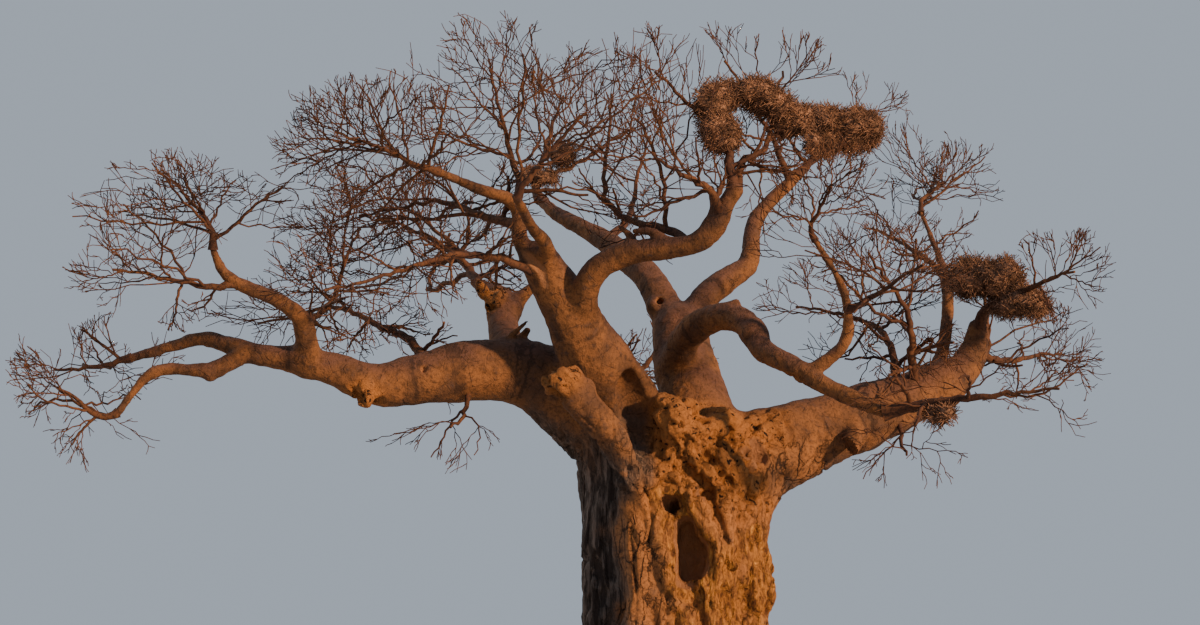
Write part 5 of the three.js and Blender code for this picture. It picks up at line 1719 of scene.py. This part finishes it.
    def tube_tree(self) -> bpy.types.NodeTree:
        """The geometry nodes that turn lines into closed tapering tubes, rounder where thicker.

        Returns:
            The tree, with an input for the bark and one for the sides at each order.
        """
        tree = bpy.data.node_groups.new("twig_tubes", "GeometryNodeTree")
        tree.interface.new_socket("Lines", in_out="INPUT", socket_type="NodeSocketGeometry")
        for order in range(len(self.sides)):
            tree.interface.new_socket(f"Sides {order}", in_out="INPUT", socket_type="NodeSocketInt")
        tree.interface.new_socket("Bark", in_out="INPUT", socket_type="NodeSocketMaterial")
        tree.interface.new_socket("Twigs", in_out="OUTPUT", socket_type="NodeSocketGeometry")
        given = add_node(tree, "NodeGroupInput")
        order_of = add_node(
            tree, "GeometryNodeInputNamedAttribute", {"data_type": "INT"}, {"Name": "order"}
        ).outputs["Attribute"]
        thickness = add_node(
            tree, "GeometryNodeInputNamedAttribute", {"data_type": "FLOAT"}, {"Name": "thickness"}
        ).outputs["Attribute"]
        joined = add_node(tree, "GeometryNodeJoinGeometry")
        for order in range(len(self.sides)):
            chosen = add_node(
                tree, "FunctionNodeCompare", {"data_type": "INT", "operation": "EQUAL"}
            )
            whole = [s for s in chosen.inputs if s.type == "INT"]
            tree.links.new(order_of, whole[0])
            whole[1].default_value = order
            curve = add_node(
                tree, "GeometryNodeMeshToCurve",
                links={"Mesh": given.outputs["Lines"], "Selection": chosen.outputs["Result"]},
            )
            ring = add_node(
                tree, "GeometryNodeCurvePrimitiveCircle", values={"Radius": 1.0},
                links={"Resolution": given.outputs[f"Sides {order}"]},
            )
            tube = add_node(
                tree, "GeometryNodeCurveToMesh", values={"Fill Caps": True},
                links={
                    "Curve": curve.outputs["Curve"], "Profile Curve": ring.outputs["Curve"],
                    "Scale": thickness,
                },
            )
            tree.links.new(tube.outputs["Mesh"], joined.inputs["Geometry"])
        smooth = add_node(
            tree, "GeometryNodeSetShadeSmooth", links={"Geometry": joined.outputs["Geometry"]}
        )
        real = add_node(
            tree, "GeometryNodeRealizeInstances", links={"Geometry": smooth.outputs["Geometry"]}
        )
        barked = add_node(
            tree, "GeometryNodeSetMaterial",
            links={"Geometry": real.outputs["Geometry"], "Material": given.outputs["Bark"]},
        )
        add_node(tree, "NodeGroupOutput", links={"Twigs": barked.outputs["Geometry"]})
        return tree

    def build(self, bark: bpy.types.Material) -> dict[Spray, bpy.types.Object]:
        """Grows every mass and makes each piece's mesh.

        Args:
            bark: The twigs' material.

        Returns:
            The pieces' objects.
        """
        rows = self.grow()
        tree = self.tube_tree()
        inputs = {f"Sides {i}": sides for i, sides in enumerate(self.sides)} | {"Bark": bark}
        made = {}
        for spray in Spray:
            masses = {i for i, mass in enumerate(MASSES) if mass.spray is spray}
            made[spray] = realised(self.lines(spray.value, rows, masses), tree, inputs)
        return made

    def dress(self, pieces: dict[Spray, bpy.types.Object]) -> None:
        """Gives each piece its body and the masses that it stands for."""
        for spray, made in pieces.items():
            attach(made, "root")
            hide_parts(*(mass.name for mass in MASSES if mass.spray is spray))
            LOG.info("%s: %d triangles", made.name, triangles(made))


def realised(source: bpy.types.Object, tree: bpy.types.NodeTree,
             inputs: dict[str, object]) -> bpy.types.Object:
    """What a tree of geometry nodes makes of an object, as a plain mesh in its place.

    Args:
        source: The object that the nodes start from. It keeps its name and gets the mesh.
        tree: The tree of geometry nodes.
        inputs: The values of the tree's inputs, by name.

    Returns:
        The object, with no modifier left on it.
    """
    modifier = source.modifiers.new(tree.name, "NODES")
    modifier.node_group = tree
    names = {item.name: item.identifier for item in tree.interface.items_tree
             if item.item_type == "SOCKET" and item.in_out == "INPUT"}
    for name, value in inputs.items():
        modifier[names[name]] = value
    evaluated = source.evaluated_get(bpy.context.evaluated_depsgraph_get())
    mesh = bpy.data.meshes.new_from_object(evaluated)
    source.modifiers.remove(modifier)
    old = source.data
    source.data = mesh
    bpy.data.meshes.remove(old)
    mesh.name = source.name
    return source


@dataclass
class NestHeaps:
    """The heaps of thorny sticks: a rough core, shaggy with sticks all over."""

    pitch: float = 0.07
    blend: float = 0.18
    ragged: float = 0.12
    inset: float = 0.08
    sticks_per_m2: float = 430.0
    stick_length: float = 0.4
    stick_bow: float = 0.06
    stick_radius: float = 0.007
    stand_out: float = 0.0
    seed: int = 5

    def core(self, nest: Nest) -> bpy.types.Object:
        """The rough core that fills a nest's lumps."""
        at = np.array([lump.at for lump in nest.lumps])
        half = np.array([lump.half for lump in nest.lumps])
        heap = WoodField((at - half).min(0) - 0.4, (at + half).max(0) + 0.4, self.pitch)
        for lump in nest.lumps:
            heap.join(*heap.lump_distance(lump), self.blend)
        heap.values += self.inset
        places, quads = heap.surface()
        noise = Noise(self.seed)
        ragged = noise.rough(places, 0.3, 3) * self.ragged
        places = places + vertex_normals(places, quads) * ragged[:, None]
        return mesh_object(nest.name + "_sticks", places, quads.tolist())

    def stick_tree(self) -> bpy.types.NodeTree:
        """The geometry nodes that lay bowed sticks over a core, mostly along its surface.

        Returns:
            The tree, with inputs for the sticks' number, size, bow and seed.
        """
        tree = bpy.data.node_groups.new("heaped_sticks", "GeometryNodeTree")
        wanted = {
            "Core": "NodeSocketGeometry", "Sticks per Square Metre": "NodeSocketFloat",
            "Length": "NodeSocketFloat", "Bow": "NodeSocketFloat", "Radius": "NodeSocketFloat",
            "Stand Out": "NodeSocketFloat", "Seed": "NodeSocketInt",
            "Material": "NodeSocketMaterial",
        }
        for name, kind in wanted.items():
            tree.interface.new_socket(name, in_out="INPUT", socket_type=kind)
        tree.interface.new_socket("Heap", in_out="OUTPUT", socket_type="NodeSocketGeometry")
        given = add_node(tree, "NodeGroupInput").outputs
        points = add_node(
            tree, "GeometryNodeDistributePointsOnFaces",
            links={
                "Mesh": given["Core"], "Density": given["Sticks per Square Metre"],
                "Seed": given["Seed"],
            },
        )
        ends = []
        for share in (-0.5, 0.5):
            half = add_node(
                tree, "ShaderNodeMath", {"operation": "MULTIPLY"}, {1: share}, {0: given["Length"]}
            )
            ends.append(add_node(tree, "ShaderNodeCombineXYZ", links={"Z": half.outputs["Value"]}))
        bow = add_node(tree, "ShaderNodeCombineXYZ", links={"X": given["Bow"]})
        line = add_node(
            tree, "GeometryNodeCurveQuadraticBezier", values={"Resolution": 3},
            links={
                "Start": ends[0].outputs["Vector"], "Middle": bow.outputs["Vector"],
                "End": ends[1].outputs["Vector"],
            },
        )
        ring = add_node(
            tree, "GeometryNodeCurvePrimitiveCircle", values={"Resolution": 3},
            links={"Radius": given["Radius"]},
        )
        stick = add_node(
            tree, "GeometryNodeCurveToMesh", values={"Fill Caps": True},
            links={"Curve": line.outputs["Curve"], "Profile Curve": ring.outputs["Curve"]},
        )
        anyway = add_node(
            tree, "FunctionNodeRandomValue", {"data_type": "FLOAT_VECTOR"},
            {"Min": (-1, -1, -1), "Max": (1, 1, 1)}, {"Seed": given["Seed"]},
        )
        outward = add_node(
            tree, "ShaderNodeVectorMath", {"operation": "SCALE"},
            links={"Vector": points.outputs["Normal"], "Scale": given["Stand Out"]},
        )
        heading = add_node(
            tree, "ShaderNodeVectorMath", {"operation": "ADD"},
            links={0: anyway.outputs["Value"], 1: outward.outputs["Vector"]},
        )
        aligned = add_node(
            tree, "FunctionNodeAlignRotationToVector", {"axis": "Z"},
            links={"Vector": heading.outputs["Vector"]},
        )
        size = add_node(
            tree, "FunctionNodeRandomValue", {"data_type": "FLOAT"}, links={"Seed": given["Seed"]}
        )
        floats = [s for s in size.inputs if s.type == "VALUE" and s.name in ("Min", "Max")]
        floats[0].default_value, floats[1].default_value = 0.5, 1.3
        placed = add_node(
            tree, "GeometryNodeInstanceOnPoints",
            links={
                "Points": points.outputs["Points"], "Instance": stick.outputs["Mesh"],
                "Rotation": aligned.outputs["Rotation"],
                "Scale": next(s for s in size.outputs if s.type == "VALUE"),
            },
        )
        joined = add_node(
            tree, "GeometryNodeJoinGeometry", links={"Geometry": placed.outputs["Instances"]}
        )
        tree.links.new(given["Core"], joined.inputs["Geometry"])
        real = add_node(
            tree, "GeometryNodeRealizeInstances", links={"Geometry": joined.outputs["Geometry"]}
        )
        dressed = add_node(
            tree, "GeometryNodeSetMaterial",
            links={"Geometry": real.outputs["Geometry"], "Material": given["Material"]},
        )
        add_node(tree, "NodeGroupOutput", links={"Heap": dressed.outputs["Geometry"]})
        return tree

    def build(self, sticks: bpy.types.Material) -> dict[str, bpy.types.Object]:
        """Heaps every nest.

        Args:
            sticks: The sticks' material.

        Returns:
            The nests' objects, by the name of the node that each stands for.
        """
        tree = self.stick_tree()
        made = {}
        for number, nest in enumerate(NESTS):
            inputs = {
                "Sticks per Square Metre": self.sticks_per_m2, "Length": self.stick_length,
                "Bow": self.stick_bow, "Radius": self.stick_radius, "Stand Out": self.stand_out,
                "Seed": self.seed + number, "Material": sticks,
            }
            made[nest.name] = realised(self.core(nest), tree, inputs)
        return made

    def dress(self, pieces: dict[str, bpy.types.Object]) -> None:
        """Gives each nest its body and the node that it stands for."""
        for name, made in pieces.items():
            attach(made, "root")
            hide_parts(name)
            LOG.info("%s: %d triangles", made.name, triangles(made))


@dataclass(frozen=True)
class Lamp:
    """A soft far lamp: where it shines from, its strength, colour and softness."""

    name: str
    azimuth: float
    elevation: float
    strength: float
    colour: str
    soft_degrees: float

    def build(self) -> None:
        """Hangs the lamp. Azimuth 0 is the camera's side, and 90 the tree's right."""
        data = bpy.data.lights.new(self.name, "SUN")
        data.energy = self.strength
        data.color = linear(self.colour)[:3]
        data.angle = math.radians(self.soft_degrees)
        made = bpy.data.objects.new(self.name, data)
        turn, rise = math.radians(self.azimuth), math.radians(self.elevation)
        toward = Vector((
            math.sin(turn) * math.cos(rise), -math.cos(turn) * math.cos(rise), math.sin(rise),
        ))
        made.rotation_mode = "QUATERNION"
        made.rotation_quaternion = toward.to_track_quat("Z", "Y")
        made.location = toward * 60
        bpy.context.scene.collection.objects.link(made)


@dataclass
class Studio:
    """The pale floor, the soft lamps, the pale surround and the camera."""

    floor_side: float = 260.0
    surround: str = "c6d3e2"
    surround_strength: float = 0.66
    eye: Point = (-1.71, -60.0, 2.0)
    pitch_up: float = 9.0
    lens: float = 82.0
    lamps: tuple[Lamp, ...] = (
        Lamp("warm_key", 52, 14, 7.4, "ffcf9c", 3.0),
        Lamp("back_fill", 235, 28, 0.9, "ffe6cc", 20.0),
    )

    def build(self) -> None:
        """Sets out the studio."""
        half = self.floor_side / 2
        corners = np.array([[-half, -half, 0], [half, -half, 0], [half, half, 0], [-half, half, 0]])
        floor = mesh_object("studio_floor", corners, [(0, 1, 2, 3)])
        floor.data.materials.append(PaleFloor().build())
        for lamp in self.lamps:
            lamp.build()
        world = bpy.data.worlds.new("pale_surround")
        world.use_nodes = True
        shade = world.node_tree.nodes["Background"]
        shade.inputs["Color"].default_value = linear(self.surround)
        shade.inputs["Strength"].default_value = self.surround_strength
        bpy.context.scene.world = world
        data = bpy.data.cameras.new("front_view")
        data.sensor_width = 36.0
        data.lens = self.lens
        data.clip_end = 500.0
        camera = bpy.data.objects.new("front_view", data)
        camera.location = self.eye
        camera.rotation_euler = (math.radians(90 + self.pitch_up), 0, 0)
        bpy.context.scene.collection.objects.link(camera)
        bpy.context.scene.camera = camera


def main() -> None:
    """Builds and dresses the tree, piece by piece, and sets out the studio."""
    logging.basicConfig(level=logging.INFO, format="%(name)s: %(message)s")
    LOG.info("the packed solids are %d nodes", len(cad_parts))
    woodwork = Woodwork()
    woodwork.dress(woodwork.build(), FoldedBark().build())
    crown = Crown(woodwork.wood)
    crown.dress(crown.build(TwigBark().build()))
    nests = NestHeaps()
    nests.dress(nests.build(HeapedSticks().build()))
    Studio().build()


if __name__ == "__main__":
    main()
